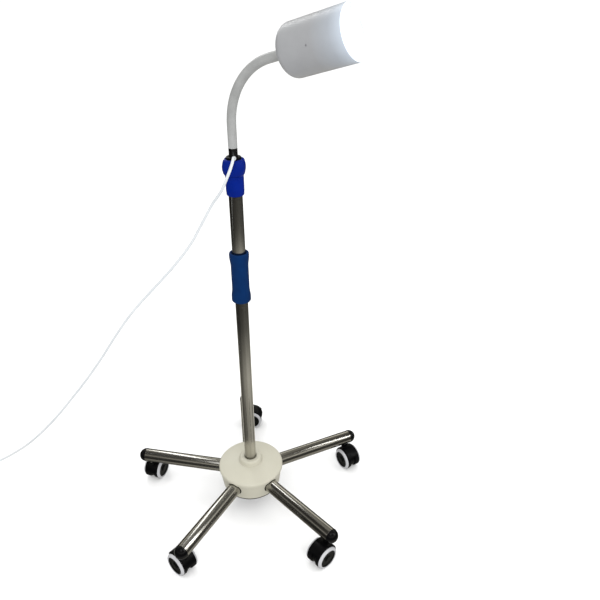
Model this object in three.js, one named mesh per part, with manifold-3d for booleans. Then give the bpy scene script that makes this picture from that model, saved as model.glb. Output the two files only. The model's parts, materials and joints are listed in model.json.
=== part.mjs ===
// Mobile examination light on a five-caster stand, in millimetres, +Z up.
// The origin is on the floor under the mast's axis, and the lamp faces +X.
import * as THREE from "three";
import { mergeVertices } from "three/addons/utils/BufferGeometryUtils.js";
import { RoundedBoxGeometry } from "three/addons/geometries/RoundedBoxGeometry.js";
import Module from "manifold-3d";

const wasm = await Module();
wasm.setup();

// ---- driving dimensions ----
const GAP = 0.3; // running gap between neighbouring pieces
const SIDES = 16; // facets round a turned piece
const WIDE_SIDES = 28; // facets round a wide one

const LEG_COUNT = 5;
const FIRST_LEG_AZIMUTH = 60.3; // degrees from +X
const LEG_AXIS_Z = 95;
const LEG_RADIUS = 19;
const LEG_WALL = 1.5;
const LEG_START = 40; // from the mast's axis
const LEG_END = 325;
const LEG_HOLE_RADIUS = LEG_RADIUS + 2; // of the hub cover's openings for the legs
const CAP_RADIUS = LEG_RADIUS + 0.8; // of the dome over a tube's end
const CAP_PLUG = 6;

const HUB_RADIUS = 91.6;
const HUB_RIM_Z = 122;
const HUB_FOOT_RADIUS = 82.5; // of the tapered skirt's lower edge
const HUB_SKIRT_Z = 62;
const HUB_WALL = 3;
const BOSS_RADIUS = 32.6; // of the raised ring round the mast
const BOSS_FOOT_Z = 137;
const BOSS_TOP_Z = 151;
const DRUM_RADIUS = 35; // of the steel core inside the hub
const DRUM_TOP_Z = LEG_AXIS_Z + 22;
const NECK_RING_RADIUS = 21; // of the core's collar round the mast
const PLATE_THICKNESS = 4;
const BOLT_RADIUS = 5;
const BOLT_HEAD_RADIUS = 9;
const BOLT_HEAD_HEIGHT = 7;

const WHEEL_RADIUS = 32.5;
const WHEEL_WIDTH = 20;
const WHEEL_INNER = 7; // from the caster's mid plane to a wheel's inner face
const WHEEL_OUTER = WHEEL_INNER + WHEEL_WIDTH;
const WHEEL_SHOULDER = 7; // width of the chamfer between tread and outer face
const WHEEL_SIDES = 16;
const AXLE_RADIUS = 4;
const CASTER_TRAIL = 20; // from the stem's axis to the axle
const STEM_RADIAL = 312; // from the mast's axis to a stem's axis
const STEM_RADIUS = 4;
const STEM_FOOT_Z = 46;
const STEM_FLANGE_RADIUS = 9;
const HOOD_RADIUS = 36.2;
const HOOD_WALL = 2.3;
const HOOD_WIDTH = 40;
const HOOD_START = 32; // degrees up from the trail's direction
const HOOD_END = 172;
// Way each caster trails, in degrees from +X, in the order of the legs.
const TRAIL_AZIMUTHS = [-22, 33, 105, 174, 258];

const MAST_RADIUS = 16;
const MAST_WALL = 1.5;
const MAST_FOOT_Z = 80;
const MAST_JOINT_Z = 726;
const MAST_TOP_Z = 983;
const COUPLER_LENGTH = 80;
const COUPLER_WALL = 3;
const GRIP_BOTTOM_Z = 665;
const GRIP_TOP_Z = 797;
const GRIP_END_RADIUS = 24;
const GRIP_WAIST_RADIUS = 21.4;

const CLAMP_BOTTOM_Z = 939;
const CLAMP_RADIUS = 20.9;
const KNOB_BOTTOM_Z = 986;
const KNOB_TOP_Z = 1023.5;
const COLLAR_TOP_Z = 1028;
const KNOB_RADIUS = 28.2;
const KNOB_LOBES = 4;
const KNOB_LOBE_DEPTH = 5;
const KNOB_ROUND_RADIUS = 21; // inside this the knob is round
const KNOB_VALLEY_AZIMUTH = -60; // one valley lies below the cord's outlet
const NOSE_RADIUS = 17.4;
const NOSE_TOP_Z = 1005;
const COLLET_RADIUS = 12.5;

const ROD_RADIUS = 9.9;
const ROD_BORE_RADIUS = 5;
const ROD_SPIGOT_RADIUS = 7;
const ROD_FOOT_Z = 700;
const ROD_TOP_Z = 1046;
const ROD_SPIGOT_LENGTH = 26;
const BUSH_LENGTH = 16;

const NECK_RADIUS = 10.1;
const NECK_SIDES = 12;
const NECK_STRAIGHT = 50; // upright stretch above the rod
const NECK_BEND_RADIUS = 148.7;
const NECK_BEND = 73; // degrees
const NECK_LENGTH = 290;
const NECK_PIVOTS = [56, 113, 170, 227]; // distances along the neck
const SOCKET_RADIUS = 11;

const SHADE_RADIUS = 51;
const SHADE_LENGTH = 153;
const SHADE_WALL = 1.8;
const SHADE_CORNER = 18;
const TIP_SPIGOT_RADIUS = 7.5; // of the neck's end inside the shade
const LENS_FROM_BACK = 132;
const LENS_THICKNESS = 3;
const SCREW_FROM_BACK = 77;
const SCREW_RADIUS = 2;
const HEAT_SINK_FRONT = 104; // from the shade's back, like the fins
const HEAT_SINK_FINS = [[73.5, 80.5], [87, 89], [94, 96]];
const HEAT_SINK_CORE_RADIUS = 14;

const CORD_RADIUS = 3.25;
const CORD_SIDES = 8;
const COIL_RADIUS = 36; // middle of the coil's turns
const COIL_COLUMNS = 2;
const COIL_LAYERS = 4;
const BOOT_LENGTH = 25;
const PLUG_LENGTH = 36;
const PLUG_WIDTH = 30;
const PLUG_HEIGHT = 14;
const PIN_RADIUS = 2.4;
const PIN_LENGTH = 19;
const PIN_SPACING = 19;
const GLAND_ROOT = new THREE.Vector3(9.2, -8.4, 1026.4);
const GLAND_TIP = new THREE.Vector3(21.3, -23.9, 1032.9);
// The cord's route from the strain relief to the coil, laid by hand.
const CORD_ROUTE = [
  [21.7, -24.4, 1033.1],
  [25.2, -28.9, 1034.9],
  [29, -34.7, 1033.4],
  [31, -41, 1026.5],
  [30, -46.4, 1016],
  [26.4, -51, 1003],
  [20.5, -54.5, 988],
  [11, -57.3, 968],
  [-1, -59.6, 951],
  [-14, -62, 934],
  [-38, -73, 889],
  [-68, -87, 833],
  [-105, -104, 780],
  [-146, -123, 728],
  [-187, -142, 679],
  [-232, -163, 621],
  [-277, -184, 553],
  [-323, -205, 479],
  [-377, -230, 398],
  [-432, -255, 322],
  [-486, -280, 250],
  [-541, -305, 184],
  [-595, -330, 127],
  [-650, -355, 79],
  [-695, -376, 45],
  [-733, -394, 21],
  [-752, -403, 11.5],
  [-769, -411, 5.8],
  [-787, -420, 3.6],
  [-806, -429, 3.6],
];
// From the coil's top outer turn down to the plug, which lies on the floor.
const TAIL_ROUTE = [
  [-786, -513.8, 22.3],
  [-776, -514, 21.3],
  [-766, -514.6, 18.6],
  [-756, -515.5, 14.8],
  [-746, -516.5, 10.9],
  [-736, -517.3, 7.4],
  [-726, -517.7, 5],
  [-716, -517.7, 3.8],
  [-706, -517.2, 4],
  [-696, -516.4, 5.6],
  [-686, -515.4, 7.2],
];

const metal = (color, roughness) => new THREE.MeshStandardMaterial({ color, roughness, metalness: 1 });
const plastic = (color, roughness) =>
  new THREE.MeshStandardMaterial({ color, roughness, metalness: 0 });

const light = new THREE.Group();

// ---- shape helpers ----

// A closed geometry as a manifold-3d solid, for cutting and joining.
function solid(geometry) {
  const bare = geometry.index ? geometry.toNonIndexed() : geometry.clone();
  bare.deleteAttribute("normal");
  bare.deleteAttribute("uv");
  const merged = mergeVertices(bare, 1e-3);
  return new wasm.Manifold(
    new wasm.Mesh({
      numProp: 3,
      vertProperties: merged.attributes.position.array,
      triVerts: new Uint32Array(merged.index.array),
    }),
  );
}

function geometryOf(body) {
  const mesh = body.getMesh();
  const geometry = new THREE.BufferGeometry();
  geometry.setAttribute("position", new THREE.BufferAttribute(new Float32Array(mesh.vertProperties), 3));
  geometry.setIndex(new THREE.BufferAttribute(new Uint32Array(mesh.triVerts), 1));
  geometry.computeVertexNormals();
  return geometry;
}

function addPart(name, geometry, material, parent = light) {
  const mesh = new THREE.Mesh(geometry, material);
  mesh.name = name;
  parent.add(mesh);
  return mesh;
}

// A turned piece about Z. The profile is [radius, z] pairs: it starts and ends on the axis,
// or closes on itself.
function turned(profile, sides = SIDES) {
  const points = profile.map(([r, z]) => new THREE.Vector2(r, z));
  const onAxis = points[0].x === 0 && points[points.length - 1].x === 0;
  if (THREE.ShapeUtils.area(points) < 0) points.reverse();
  if (!onAxis) points.push(points[0].clone());
  return new THREE.LatheGeometry(points, sides).rotateX(Math.PI / 2);
}

// A tube or ring about Z, with an inner and an outer radius.
function ring(inner, outer, bottom, top, sides = SIDES) {
  return turned(
    [
      [inner, bottom],
      [outer, bottom],
      [outer, top],
      [inner, top],
    ],
    sides,
  );
}

// A round bar about Z.
function bar(radius, bottom, top, sides = SIDES) {
  return turned(
    [
      [0, bottom],
      [radius, bottom],
      [radius, top],
      [0, top],
    ],
    sides,
  );
}

// A taper from one point to another.
function taper(from, to, startRadius, endRadius, sides = 16) {
  const way = to.clone().sub(from);
  const cone = new THREE.CylinderGeometry(endRadius, startRadius, way.length(), sides);
  const up = new THREE.Vector3(0, 1, 0);
  cone.applyQuaternion(new THREE.Quaternion().setFromUnitVectors(up, way.clone().normalize()));
  const middle = from.clone().add(to).multiplyScalar(0.5);
  return cone.translate(middle.x, middle.y, middle.z);
}

// A round outline with the given number of sides, to run along a curve.
function disc(radius, sides) {
  const circle = new THREE.Shape().absarc(0, 0, radius, 0, 2 * Math.PI);
  return new THREE.Shape(circle.getSpacedPoints(sides).slice(0, sides));
}

function alongCurve(shape, curve, steps) {
  return new THREE.ExtrudeGeometry(shape, { steps, bevelEnabled: false, extrudePath: curve });
}

function arcPoints(centreR, centreZ, radius, fromDegrees, toDegrees, count) {
  return Array.from({ length: count + 1 }, (_, i) => {
    const angle = THREE.MathUtils.degToRad(fromDegrees + ((toDegrees - fromDegrees) * i) / count);
    return [centreR + radius * Math.cos(angle), centreZ + radius * Math.sin(angle)];
  });
}

// ---- hub ----

const steel = metal(0xb8b8b4, 0.22);
const darkSteel = metal(0x4a4a4c, 0.35);
const cream = plastic(0xd6d3c0, 0.42);
const blackPlastic = plastic(0x141416, 0.45);

// Legs point along +X of a group turned to each azimuth.
const legGroups = Array.from({ length: LEG_COUNT }, (_, i) => {
  const group = new THREE.Group();
  group.rotation.z = THREE.MathUtils.degToRad(FIRST_LEG_AZIMUTH + (i * 360) / LEG_COUNT);
  group.updateMatrix();
  light.add(group);
  return group;
});

// A bar along every leg's axis, to join to or cut from the hub's pieces.
function legBars(radius, from, to) {
  return legGroups.map((group) => {
    const spoke = bar(radius, from, to).rotateY(Math.PI / 2);
    spoke.translate(0, 0, LEG_AXIS_Z).applyMatrix4(group.matrix);
    return solid(spoke);
  });
}

function hubCover() {
  const mastBore = MAST_RADIUS + GAP;
  const outside = [
    [HUB_FOOT_RADIUS, HUB_SKIRT_Z],
    [HUB_RADIUS - 2.4, HUB_RIM_Z - 12],
    [HUB_RADIUS, HUB_RIM_Z - 9],
    [HUB_RADIUS, HUB_RIM_Z - 5],
    [HUB_RADIUS - 5, HUB_RIM_Z],
    [BOSS_RADIUS + 1, BOSS_FOOT_Z],
    [BOSS_RADIUS - 1.5, BOSS_TOP_Z - 4],
    [BOSS_RADIUS - 5, BOSS_TOP_Z],
    [mastBore, BOSS_TOP_Z],
  ];
  const inside = [
    [mastBore, BOSS_TOP_Z - 14],
    [BOSS_RADIUS, BOSS_FOOT_Z - HUB_WALL],
    [HUB_RADIUS - 7, HUB_RIM_Z - HUB_WALL],
    [HUB_RADIUS - HUB_WALL - 2.4, HUB_RIM_Z - 11],
    [HUB_FOOT_RADIUS - HUB_WALL, HUB_SKIRT_Z],
  ];
  let shell = solid(turned([...outside, ...inside], WIDE_SIDES));
  for (const spoke of legBars(LEG_HOLE_RADIUS, 55, 120)) shell = shell.subtract(spoke);
  return geometryOf(shell);
}

// The drum's counterbore takes the bolt's head, so nothing hangs below the base plate.
function hubCore() {
  const boltBore = BOLT_RADIUS + 0.5;
  const counterbore = BOLT_HEAD_RADIUS + 1;
  const shelf = HUB_SKIRT_Z - PLATE_THICKNESS + BOLT_HEAD_HEIGHT + 1;
  const drum = [
    [counterbore, HUB_SKIRT_Z],
    [DRUM_RADIUS, HUB_SKIRT_Z],
    [DRUM_RADIUS, DRUM_TOP_Z],
    [NECK_RING_RADIUS, DRUM_TOP_Z + 2],
    [NECK_RING_RADIUS, DRUM_TOP_Z + 8],
    [MAST_RADIUS + GAP, DRUM_TOP_Z + 8],
    [MAST_RADIUS + GAP, MAST_FOOT_Z - GAP],
    [boltBore, MAST_FOOT_Z - GAP],
    [boltBore, shelf],
    [counterbore, shelf],
  ];
  let core = solid(turned(drum));
  for (const spigot of legBars(LEG_RADIUS - LEG_WALL - GAP, 30, 72)) core = core.add(spigot);
  const socket = solid(bar(MAST_RADIUS + GAP, MAST_FOOT_Z - GAP, DRUM_TOP_Z + 20));
  return geometryOf(core.subtract(socket));
}

function basePlate() {
  const bottom = HUB_SKIRT_Z - PLATE_THICKNESS;
  return ring(BOLT_HEAD_RADIUS + 2, HUB_FOOT_RADIUS - 1, bottom, HUB_SKIRT_Z - GAP, WIDE_SIDES);
}

function hubBolt() {
  const headBottom = HUB_SKIRT_Z - PLATE_THICKNESS + 1 - GAP;
  const headTop = headBottom + BOLT_HEAD_HEIGHT;
  const profile = [
    [0, headBottom],
    [BOLT_HEAD_RADIUS, headBottom],
    [BOLT_HEAD_RADIUS, headTop],
    [BOLT_RADIUS, headTop],
    [BOLT_RADIUS, MAST_FOOT_Z + 18],
    [0, MAST_FOOT_Z + 18],
  ];
  return turned(profile, 12);
}

addPart("hub_cover", hubCover(), cream);
addPart("hub_core", hubCore(), darkSteel);
addPart("hub_base_plate", basePlate(), darkSteel);
addPart("hub_bolt", hubBolt(), steel);

// ---- legs, end caps and caster stems ----

function legTube() {
  const tube = solid(ring(LEG_RADIUS - LEG_WALL, LEG_RADIUS, LEG_START, LEG_END).rotateY(Math.PI / 2));
  const stemHole = bar(STEM_RADIUS + GAP, -LEG_RADIUS - 3, -LEG_RADIUS + 5, 12);
  return tube.subtract(solid(stemHole.translate(STEM_RADIAL, 0, 0)));
}

// A domed cap on a plug that fills the tube's end.
function endCap() {
  const plugRadius = LEG_RADIUS - LEG_WALL - GAP;
  const domeFoot = LEG_END + GAP;
  const profile = [
    [0, LEG_END - CAP_PLUG],
    [plugRadius, LEG_END - CAP_PLUG],
    [plugRadius, domeFoot],
    ...arcPoints(0, domeFoot, CAP_RADIUS, 0, 75, 4),
    [0, domeFoot + CAP_RADIUS],
  ];
  return turned(profile).rotateY(Math.PI / 2);
}

function casterStem() {
  const flangeTop = LEG_AXIS_Z - LEG_RADIUS - GAP;
  return turned(
    [
      [0, STEM_FOOT_Z],
      [STEM_RADIUS, STEM_FOOT_Z],
      [STEM_RADIUS, flangeTop - 3],
      [STEM_FLANGE_RADIUS, flangeTop - 3],
      [STEM_FLANGE_RADIUS, flangeTop],
      [STEM_RADIUS, flangeTop],
      [STEM_RADIUS, LEG_AXIS_Z - 5],
      [0, LEG_AXIS_Z - 5],
    ],
    12,
  );
}

legGroups.forEach((group, i) => {
  const tube = addPart(`leg_tube_${i + 1}`, geometryOf(legTube()), steel, group);
  tube.position.z = LEG_AXIS_Z;
  const cap = addPart(`leg_cap_${i + 1}`, endCap(), blackPlastic, group);
  cap.position.z = LEG_AXIS_Z;
  const stem = addPart(`caster_stem_${i + 1}`, casterStem(), steel, group);
  stem.position.x = STEM_RADIAL;
});

// ---- casters: one body with hood, web and axle, and two wheels ----

// Along the trail: +X runs from the stem to the axle, and the origin is on the stem's axis.
function casterBody() {
  const outline = new THREE.Shape();
  const start = THREE.MathUtils.degToRad(HOOD_START);
  const end = THREE.MathUtils.degToRad(HOOD_END);
  outline.absarc(0, 0, HOOD_RADIUS, start, end, false);
  outline.absarc(0, 0, HOOD_RADIUS - HOOD_WALL, end, start, true);
  const hood = new THREE.ExtrudeGeometry(outline, { depth: HOOD_WIDTH, bevelEnabled: false, curveSegments: 8 });
  hood.translate(0, 0, -HOOD_WIDTH / 2).rotateX(Math.PI / 2);
  const webWidth = 2 * (WHEEL_INNER - 0.8);
  const web = bar(HOOD_RADIUS - 8, -webWidth / 2, webWidth / 2, WHEEL_SIDES).rotateX(Math.PI / 2);
  const bridge = new THREE.BoxGeometry(36, webWidth, 28).translate(-7, 0, 19);
  const stemHousing = new THREE.BoxGeometry(18, webWidth, 20).translate(1 - CASTER_TRAIL, 0, 24);
  const boss = bar(STEM_FLANGE_RADIUS, 34, 39, 16).translate(-CASTER_TRAIL, 0, 0);
  const axleLength = WHEEL_OUTER - 5;
  const axle = bar(AXLE_RADIUS, -axleLength, axleLength, 12).rotateX(Math.PI / 2);
  let body = solid(hood);
  for (const piece of [web, bridge, stemHousing, boss, axle]) body = body.add(solid(piece));
  const stemHole = bar(STEM_RADIUS + GAP, STEM_FOOT_Z - WHEEL_RADIUS - GAP, 60, 12);
  body = body.subtract(solid(stemHole.translate(-CASTER_TRAIL, 0, 0)));
  return geometryOf(body).translate(CASTER_TRAIL, 0, WHEEL_RADIUS);
}

// The axle's bore is blind: the hub cap closes the outer face. The wheel stands on a facet.
function wheel(side) {
  const halfFacet = Math.PI / WHEEL_SIDES;
  const tread = WHEEL_RADIUS / Math.cos(halfFacet);
  const bore = AXLE_RADIUS + GAP;
  const profile = [
    [0, WHEEL_OUTER - 3],
    [bore, WHEEL_OUTER - 3],
    [bore, WHEEL_INNER],
    [tread - 3, WHEEL_INNER],
    [tread, WHEEL_INNER + 2.5],
    [tread, WHEEL_OUTER - WHEEL_SHOULDER],
    [tread - 2.5, WHEEL_OUTER - 2.6],
    [tread - 8, WHEEL_OUTER],
    [0, WHEEL_OUTER + 0.6],
  ];
  const body = turned(profile, WHEEL_SIDES).rotateZ(halfFacet);
  body.rotateX(side > 0 ? -Math.PI / 2 : Math.PI / 2);
  return body.translate(CASTER_TRAIL, 0, WHEEL_RADIUS);
}

legGroups.forEach((group, i) => {
  const azimuth = group.rotation.z;
  const caster = new THREE.Group();
  caster.position.set(STEM_RADIAL * Math.cos(azimuth), STEM_RADIAL * Math.sin(azimuth), 0);
  caster.rotation.z = THREE.MathUtils.degToRad(TRAIL_AZIMUTHS[i]);
  light.add(caster);
  addPart(`caster_body_${i + 1}`, casterBody(), blackPlastic, caster);
  addPart(`caster_wheel_${i + 1}_left`, wheel(1), blackPlastic, caster);
  addPart(`caster_wheel_${i + 1}_right`, wheel(-1), blackPlastic, caster);
});

// ---- mast ----

const bolted = BOLT_RADIUS + 0.5;
const mastLower = turned([
  [bolted, MAST_FOOT_Z],
  [MAST_RADIUS, MAST_FOOT_Z],
  [MAST_RADIUS, MAST_JOINT_Z - GAP],
  [MAST_RADIUS - MAST_WALL, MAST_JOINT_Z - GAP],
  [MAST_RADIUS - MAST_WALL, MAST_FOOT_Z + 14],
  [bolted, MAST_FOOT_Z + 14],
]);
addPart("mast_lower", mastLower, steel);
addPart("mast_upper", ring(MAST_RADIUS - MAST_WALL, MAST_RADIUS, MAST_JOINT_Z, MAST_TOP_Z), steel);
const couplerRadius = MAST_RADIUS - MAST_WALL - GAP;
const couplerFoot = MAST_JOINT_Z - COUPLER_LENGTH / 2;
const coupler = ring(couplerRadius - COUPLER_WALL, couplerRadius, couplerFoot, couplerFoot + COUPLER_LENGTH);
addPart("mast_coupler", coupler, darkSteel);

function gripSleeve() {
  const profile = [
    [MAST_RADIUS + GAP, GRIP_BOTTOM_Z],
    [GRIP_END_RADIUS - 3, GRIP_BOTTOM_Z],
    [GRIP_END_RADIUS, GRIP_BOTTOM_Z + 4],
    [GRIP_END_RADIUS, GRIP_BOTTOM_Z + 12],
    [GRIP_WAIST_RADIUS, GRIP_BOTTOM_Z + 38],
    [GRIP_WAIST_RADIUS, GRIP_TOP_Z - 36],
    [GRIP_END_RADIUS, GRIP_TOP_Z - 11],
    [GRIP_END_RADIUS, GRIP_TOP_Z - 4],
    [GRIP_END_RADIUS - 3, GRIP_TOP_Z],
    [MAST_RADIUS + GAP, GRIP_TOP_Z],
  ];
  return turned(profile);
}
addPart("grip_sleeve", gripSleeve(), plastic(0x063a68, 0.6));

// ---- clamp head ----

const royalBlue = plastic(0x12309a, 0.4);
const clampBody = turned([
  [MAST_RADIUS + GAP, CLAMP_BOTTOM_Z],
  [CLAMP_RADIUS - 2.5, CLAMP_BOTTOM_Z],
  [CLAMP_RADIUS, CLAMP_BOTTOM_Z + 3],
  [CLAMP_RADIUS, KNOB_BOTTOM_Z - GAP],
  [NOSE_RADIUS, KNOB_BOTTOM_Z - GAP],
  [NOSE_RADIUS, NOSE_TOP_Z],
  [COLLET_RADIUS + GAP, NOSE_TOP_Z],
  [COLLET_RADIUS + GAP, MAST_TOP_Z + GAP],
  [MAST_RADIUS + GAP, MAST_TOP_Z + GAP],
]);
addPart("clamp_body", clampBody, royalBlue);

// The knob's outside swells into lobes with narrow valleys between, and its bore stays round.
function lockKnob() {
  const bore = NOSE_RADIUS + GAP;
  const profile = [
    [bore, KNOB_BOTTOM_Z],
    [KNOB_RADIUS - 6, KNOB_BOTTOM_Z],
    [KNOB_RADIUS - 3, KNOB_BOTTOM_Z + 5],
    [KNOB_RADIUS - 0.4, KNOB_BOTTOM_Z + 14],
    [KNOB_RADIUS, KNOB_TOP_Z - 15],
    [KNOB_RADIUS - 1.6, KNOB_TOP_Z - 7],
    [KNOB_RADIUS - 4.5, KNOB_TOP_Z - 2],
    [KNOB_ROUND_RADIUS - 1, KNOB_TOP_Z],
    [bore, KNOB_TOP_Z - 1],
  ];
  const geometry = turned(profile, 32);
  const position = geometry.attributes.position;
  const valley = THREE.MathUtils.degToRad(KNOB_VALLEY_AZIMUTH);
  for (let i = 0; i < position.count; i += 1) {
    const radius = Math.hypot(position.getX(i), position.getY(i));
    const angle = Math.atan2(position.getY(i), position.getX(i));
    const reach = Math.max(0, radius - KNOB_ROUND_RADIUS) / (KNOB_RADIUS - KNOB_ROUND_RADIUS);
    const wave = 0.5 + 0.5 * Math.cos(KNOB_LOBES * (angle - valley));
    const factor = 1 - (KNOB_LOBE_DEPTH * reach * wave ** 2) / radius;
    position.setX(i, position.getX(i) * factor);
    position.setY(i, position.getY(i) * factor);
  }
  return geometry;
}
addPart("lock_knob", lockKnob(), royalBlue);

function collet() {
  const foot = MAST_TOP_Z + 2 * GAP;
  const top = NOSE_TOP_Z - 2.5;
  const sleeve = solid(ring(ROD_RADIUS + GAP, COLLET_RADIUS, foot, top));
  const slot = solid(new THREE.BoxGeometry(10, 2, 2 * (top - foot)).translate(ROD_RADIUS + 3, 0, (foot + top) / 2));
  return geometryOf(sleeve.subtract(slot));
}
addPart("collet", collet(), plastic(0xe8e6dc, 0.5));

function outletCollar() {
  const body = turned([
    [ROD_RADIUS + GAP, NOSE_TOP_Z + GAP],
    [NOSE_RADIUS - GAP, NOSE_TOP_Z + GAP],
    [NOSE_RADIUS - GAP, COLLAR_TOP_Z - 1.5],
    [NOSE_RADIUS - 1.6, COLLAR_TOP_Z],
    [ROD_RADIUS + GAP, COLLAR_TOP_Z],
  ]);
  const pocketRoot = GLAND_ROOT.clone().addScaledVector(GLAND_TIP.clone().sub(GLAND_ROOT), -0.02);
  return geometryOf(solid(body).subtract(solid(taper(pocketRoot, GLAND_TIP, 4.9, 4.3))));
}
addPart("outlet_collar", outletCollar(), blackPlastic);

// The strain relief tapers from the collar, and stays clear of the rod.
function strainRelief() {
  const sleeve = solid(taper(GLAND_ROOT, GLAND_TIP, 4.6, 3.8));
  return geometryOf(sleeve.subtract(solid(bar(ROD_RADIUS + 2 * GAP, NOSE_TOP_Z, ROD_TOP_Z, 32))));
}
const white = plastic(0xe9ebec, 0.45);
addPart("strain_relief", strainRelief(), white);

// ---- rod ----

const rod = turned([
  [ROD_BORE_RADIUS, ROD_FOOT_Z],
  [ROD_RADIUS, ROD_FOOT_Z],
  [ROD_RADIUS, ROD_TOP_Z],
  [ROD_SPIGOT_RADIUS, ROD_TOP_Z],
  [ROD_SPIGOT_RADIUS, ROD_TOP_Z + ROD_SPIGOT_LENGTH],
  [ROD_BORE_RADIUS, ROD_TOP_Z + ROD_SPIGOT_LENGTH],
]);
addPart("rod", rod, darkSteel);
const bushRadius = couplerRadius - COUPLER_WALL - GAP;
const bushTop = ROD_FOOT_Z - GAP;
addPart("slide_bush", ring(ROD_BORE_RADIUS + 0.5, bushRadius, bushTop - BUSH_LENGTH, bushTop), white);

// ---- gooseneck ----

// The neck's centre line: upright, then an arc, then straight to the shade.
class NeckCurve extends THREE.Curve {
  constructor(from, to) {
    super();
    this.from = from;
    this.to = to;
  }

  getPoint(t, target = new THREE.Vector3()) {
    const bend = THREE.MathUtils.degToRad(NECK_BEND);
    const s = this.from + (this.to - this.from) * t;
    const rise = Math.min(s, NECK_STRAIGHT);
    const angle = Math.min(Math.max(0, s - NECK_STRAIGHT) / NECK_BEND_RADIUS, bend);
    const run = Math.max(0, s - NECK_STRAIGHT - NECK_BEND_RADIUS * bend);
    const x = NECK_BEND_RADIUS * (1 - Math.cos(angle)) + run * Math.sin(angle);
    const z = ROD_TOP_Z + GAP + rise + NECK_BEND_RADIUS * Math.sin(angle) + run * Math.cos(angle);
    return target.set(x, 0, z);
  }
}

const wholeNeck = new NeckCurve(0, NECK_LENGTH);
const neckPoint = (s) => wholeNeck.getPoint(s / NECK_LENGTH);

function ball(radius, centre) {
  return solid(new THREE.SphereGeometry(radius, NECK_SIDES, 8).translate(centre.x, centre.y, centre.z));
}

// A link has a ball at its upper end, and a socket at its lower end for the ball below.
function neckLink(from, to, hasSocket, hasBall) {
  const curve = new NeckCurve(from, to);
  let link = solid(alongCurve(disc(NECK_RADIUS, NECK_SIDES), curve, 4));
  if (hasBall) link = link.add(ball(NECK_RADIUS, neckPoint(to)));
  if (hasSocket) link = link.subtract(ball(SOCKET_RADIUS, neckPoint(from)));
  return link;
}

const neckGrey = plastic(0xb4b5b3, 0.5);
const spigotHole = solid(bar(ROD_SPIGOT_RADIUS + GAP, ROD_TOP_Z - 1, ROD_TOP_Z + ROD_SPIGOT_LENGTH + GAP));
const neckRoot = neckLink(0, NECK_PIVOTS[0], false, true).subtract(spigotHole);
addPart("neck_root", geometryOf(neckRoot), neckGrey);
for (let i = 1; i < NECK_PIVOTS.length; i += 1) {
  const link = neckLink(NECK_PIVOTS[i - 1], NECK_PIVOTS[i], true, true);
  addPart(`neck_link_${i}`, geometryOf(link), neckGrey);
}

// ---- lamp head ----

// +X runs along the shade's axis from its back to its open front.
const head = new THREE.Group();
head.position.copy(neckPoint(NECK_LENGTH));
head.rotation.y = -THREE.MathUtils.degToRad(90 - NECK_BEND);
head.updateMatrix();
light.add(head);

const turnedAlongX = (profile, sides) => turned(profile, sides).rotateY(Math.PI / 2);

// The tip ends in a thinner threaded spigot that goes through the shade's back.
function neckTip() {
  const link = neckLink(NECK_PIVOTS[NECK_PIVOTS.length - 1], NECK_LENGTH - GAP, true, false);
  const spigot = turnedAlongX(
    [
      [0, -20],
      [TIP_SPIGOT_RADIUS, -20],
      [TIP_SPIGOT_RADIUS, 14],
      [0, 14],
    ],
    NECK_SIDES,
  );
  return geometryOf(link.add(solid(spigot.applyMatrix4(head.matrix))));
}
addPart("neck_tip", neckTip(), neckGrey);
const neckNut = ring(TIP_SPIGOT_RADIUS + 1.5, 14, SHADE_WALL + GAP, SHADE_WALL + 8, 6);
addPart("neck_nut", neckNut.rotateY(Math.PI / 2), steel, head);

const screwHead = new THREE.Vector3(SCREW_FROM_BACK, -SHADE_RADIUS - 0.6, 0);
const screwTip = new THREE.Vector3(SCREW_FROM_BACK, -SHADE_RADIUS + 9, 0);

function shade() {
  const inner = SHADE_RADIUS - SHADE_WALL;
  const backCorner = arcPoints(SHADE_RADIUS - SHADE_CORNER, SHADE_CORNER, SHADE_CORNER, -90, 0, 3);
  const innerCorner = arcPoints(
    SHADE_RADIUS - SHADE_CORNER,
    SHADE_CORNER,
    SHADE_CORNER - SHADE_WALL,
    0,
    -90,
    2,
  );
  const profile = [
    [TIP_SPIGOT_RADIUS + GAP, 0],
    ...backCorner,
    [SHADE_RADIUS, SHADE_LENGTH],
    [inner, SHADE_LENGTH],
    ...innerCorner,
    [TIP_SPIGOT_RADIUS + GAP, SHADE_WALL],
  ];
  const hole = solid(taper(screwHead, screwTip, SCREW_RADIUS + GAP, SCREW_RADIUS + GAP, 12));
  return geometryOf(solid(turnedAlongX(profile, WIDE_SIDES)).subtract(hole));
}
addPart("lamp_shade", shade(), plastic(0xc6c8ca, 0.5), head);

const screwSeat = screwHead.clone().setY(-SHADE_RADIUS + 0.4);
addPart("shade_screw", taper(screwSeat, screwTip, SCREW_RADIUS, SCREW_RADIUS, 12), steel, head);

// Finned heat sink that carries the LED board, held by the shade's side screw in its thick first fin.
function ledHeatSink() {
  const outer = SHADE_RADIUS - SHADE_WALL - 0.8;
  const profile = [[0, HEAT_SINK_FINS[0][0]]];
  HEAT_SINK_FINS.forEach(([back, front], i) => {
    const radius = i === 0 ? outer : outer - 8;
    profile.push([HEAT_SINK_CORE_RADIUS, back], [radius, back], [radius, front], [HEAT_SINK_CORE_RADIUS, front]);
  });
  profile.push([HEAT_SINK_CORE_RADIUS, HEAT_SINK_FRONT - 3], [outer, HEAT_SINK_FRONT - 3]);
  profile.push([outer, HEAT_SINK_FRONT], [0, HEAT_SINK_FRONT]);
  const body = solid(turnedAlongX(profile, WIDE_SIDES));
  const pocketEnd = screwTip.clone().setY(12 - outer);
  const pocket = solid(taper(screwHead, pocketEnd, SCREW_RADIUS + 0.4, SCREW_RADIUS + 0.4, 12));
  return geometryOf(body.subtract(pocket));
}
addPart("led_heat_sink", ledHeatSink(), metal(0xa9abad, 0.4), head);

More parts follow.
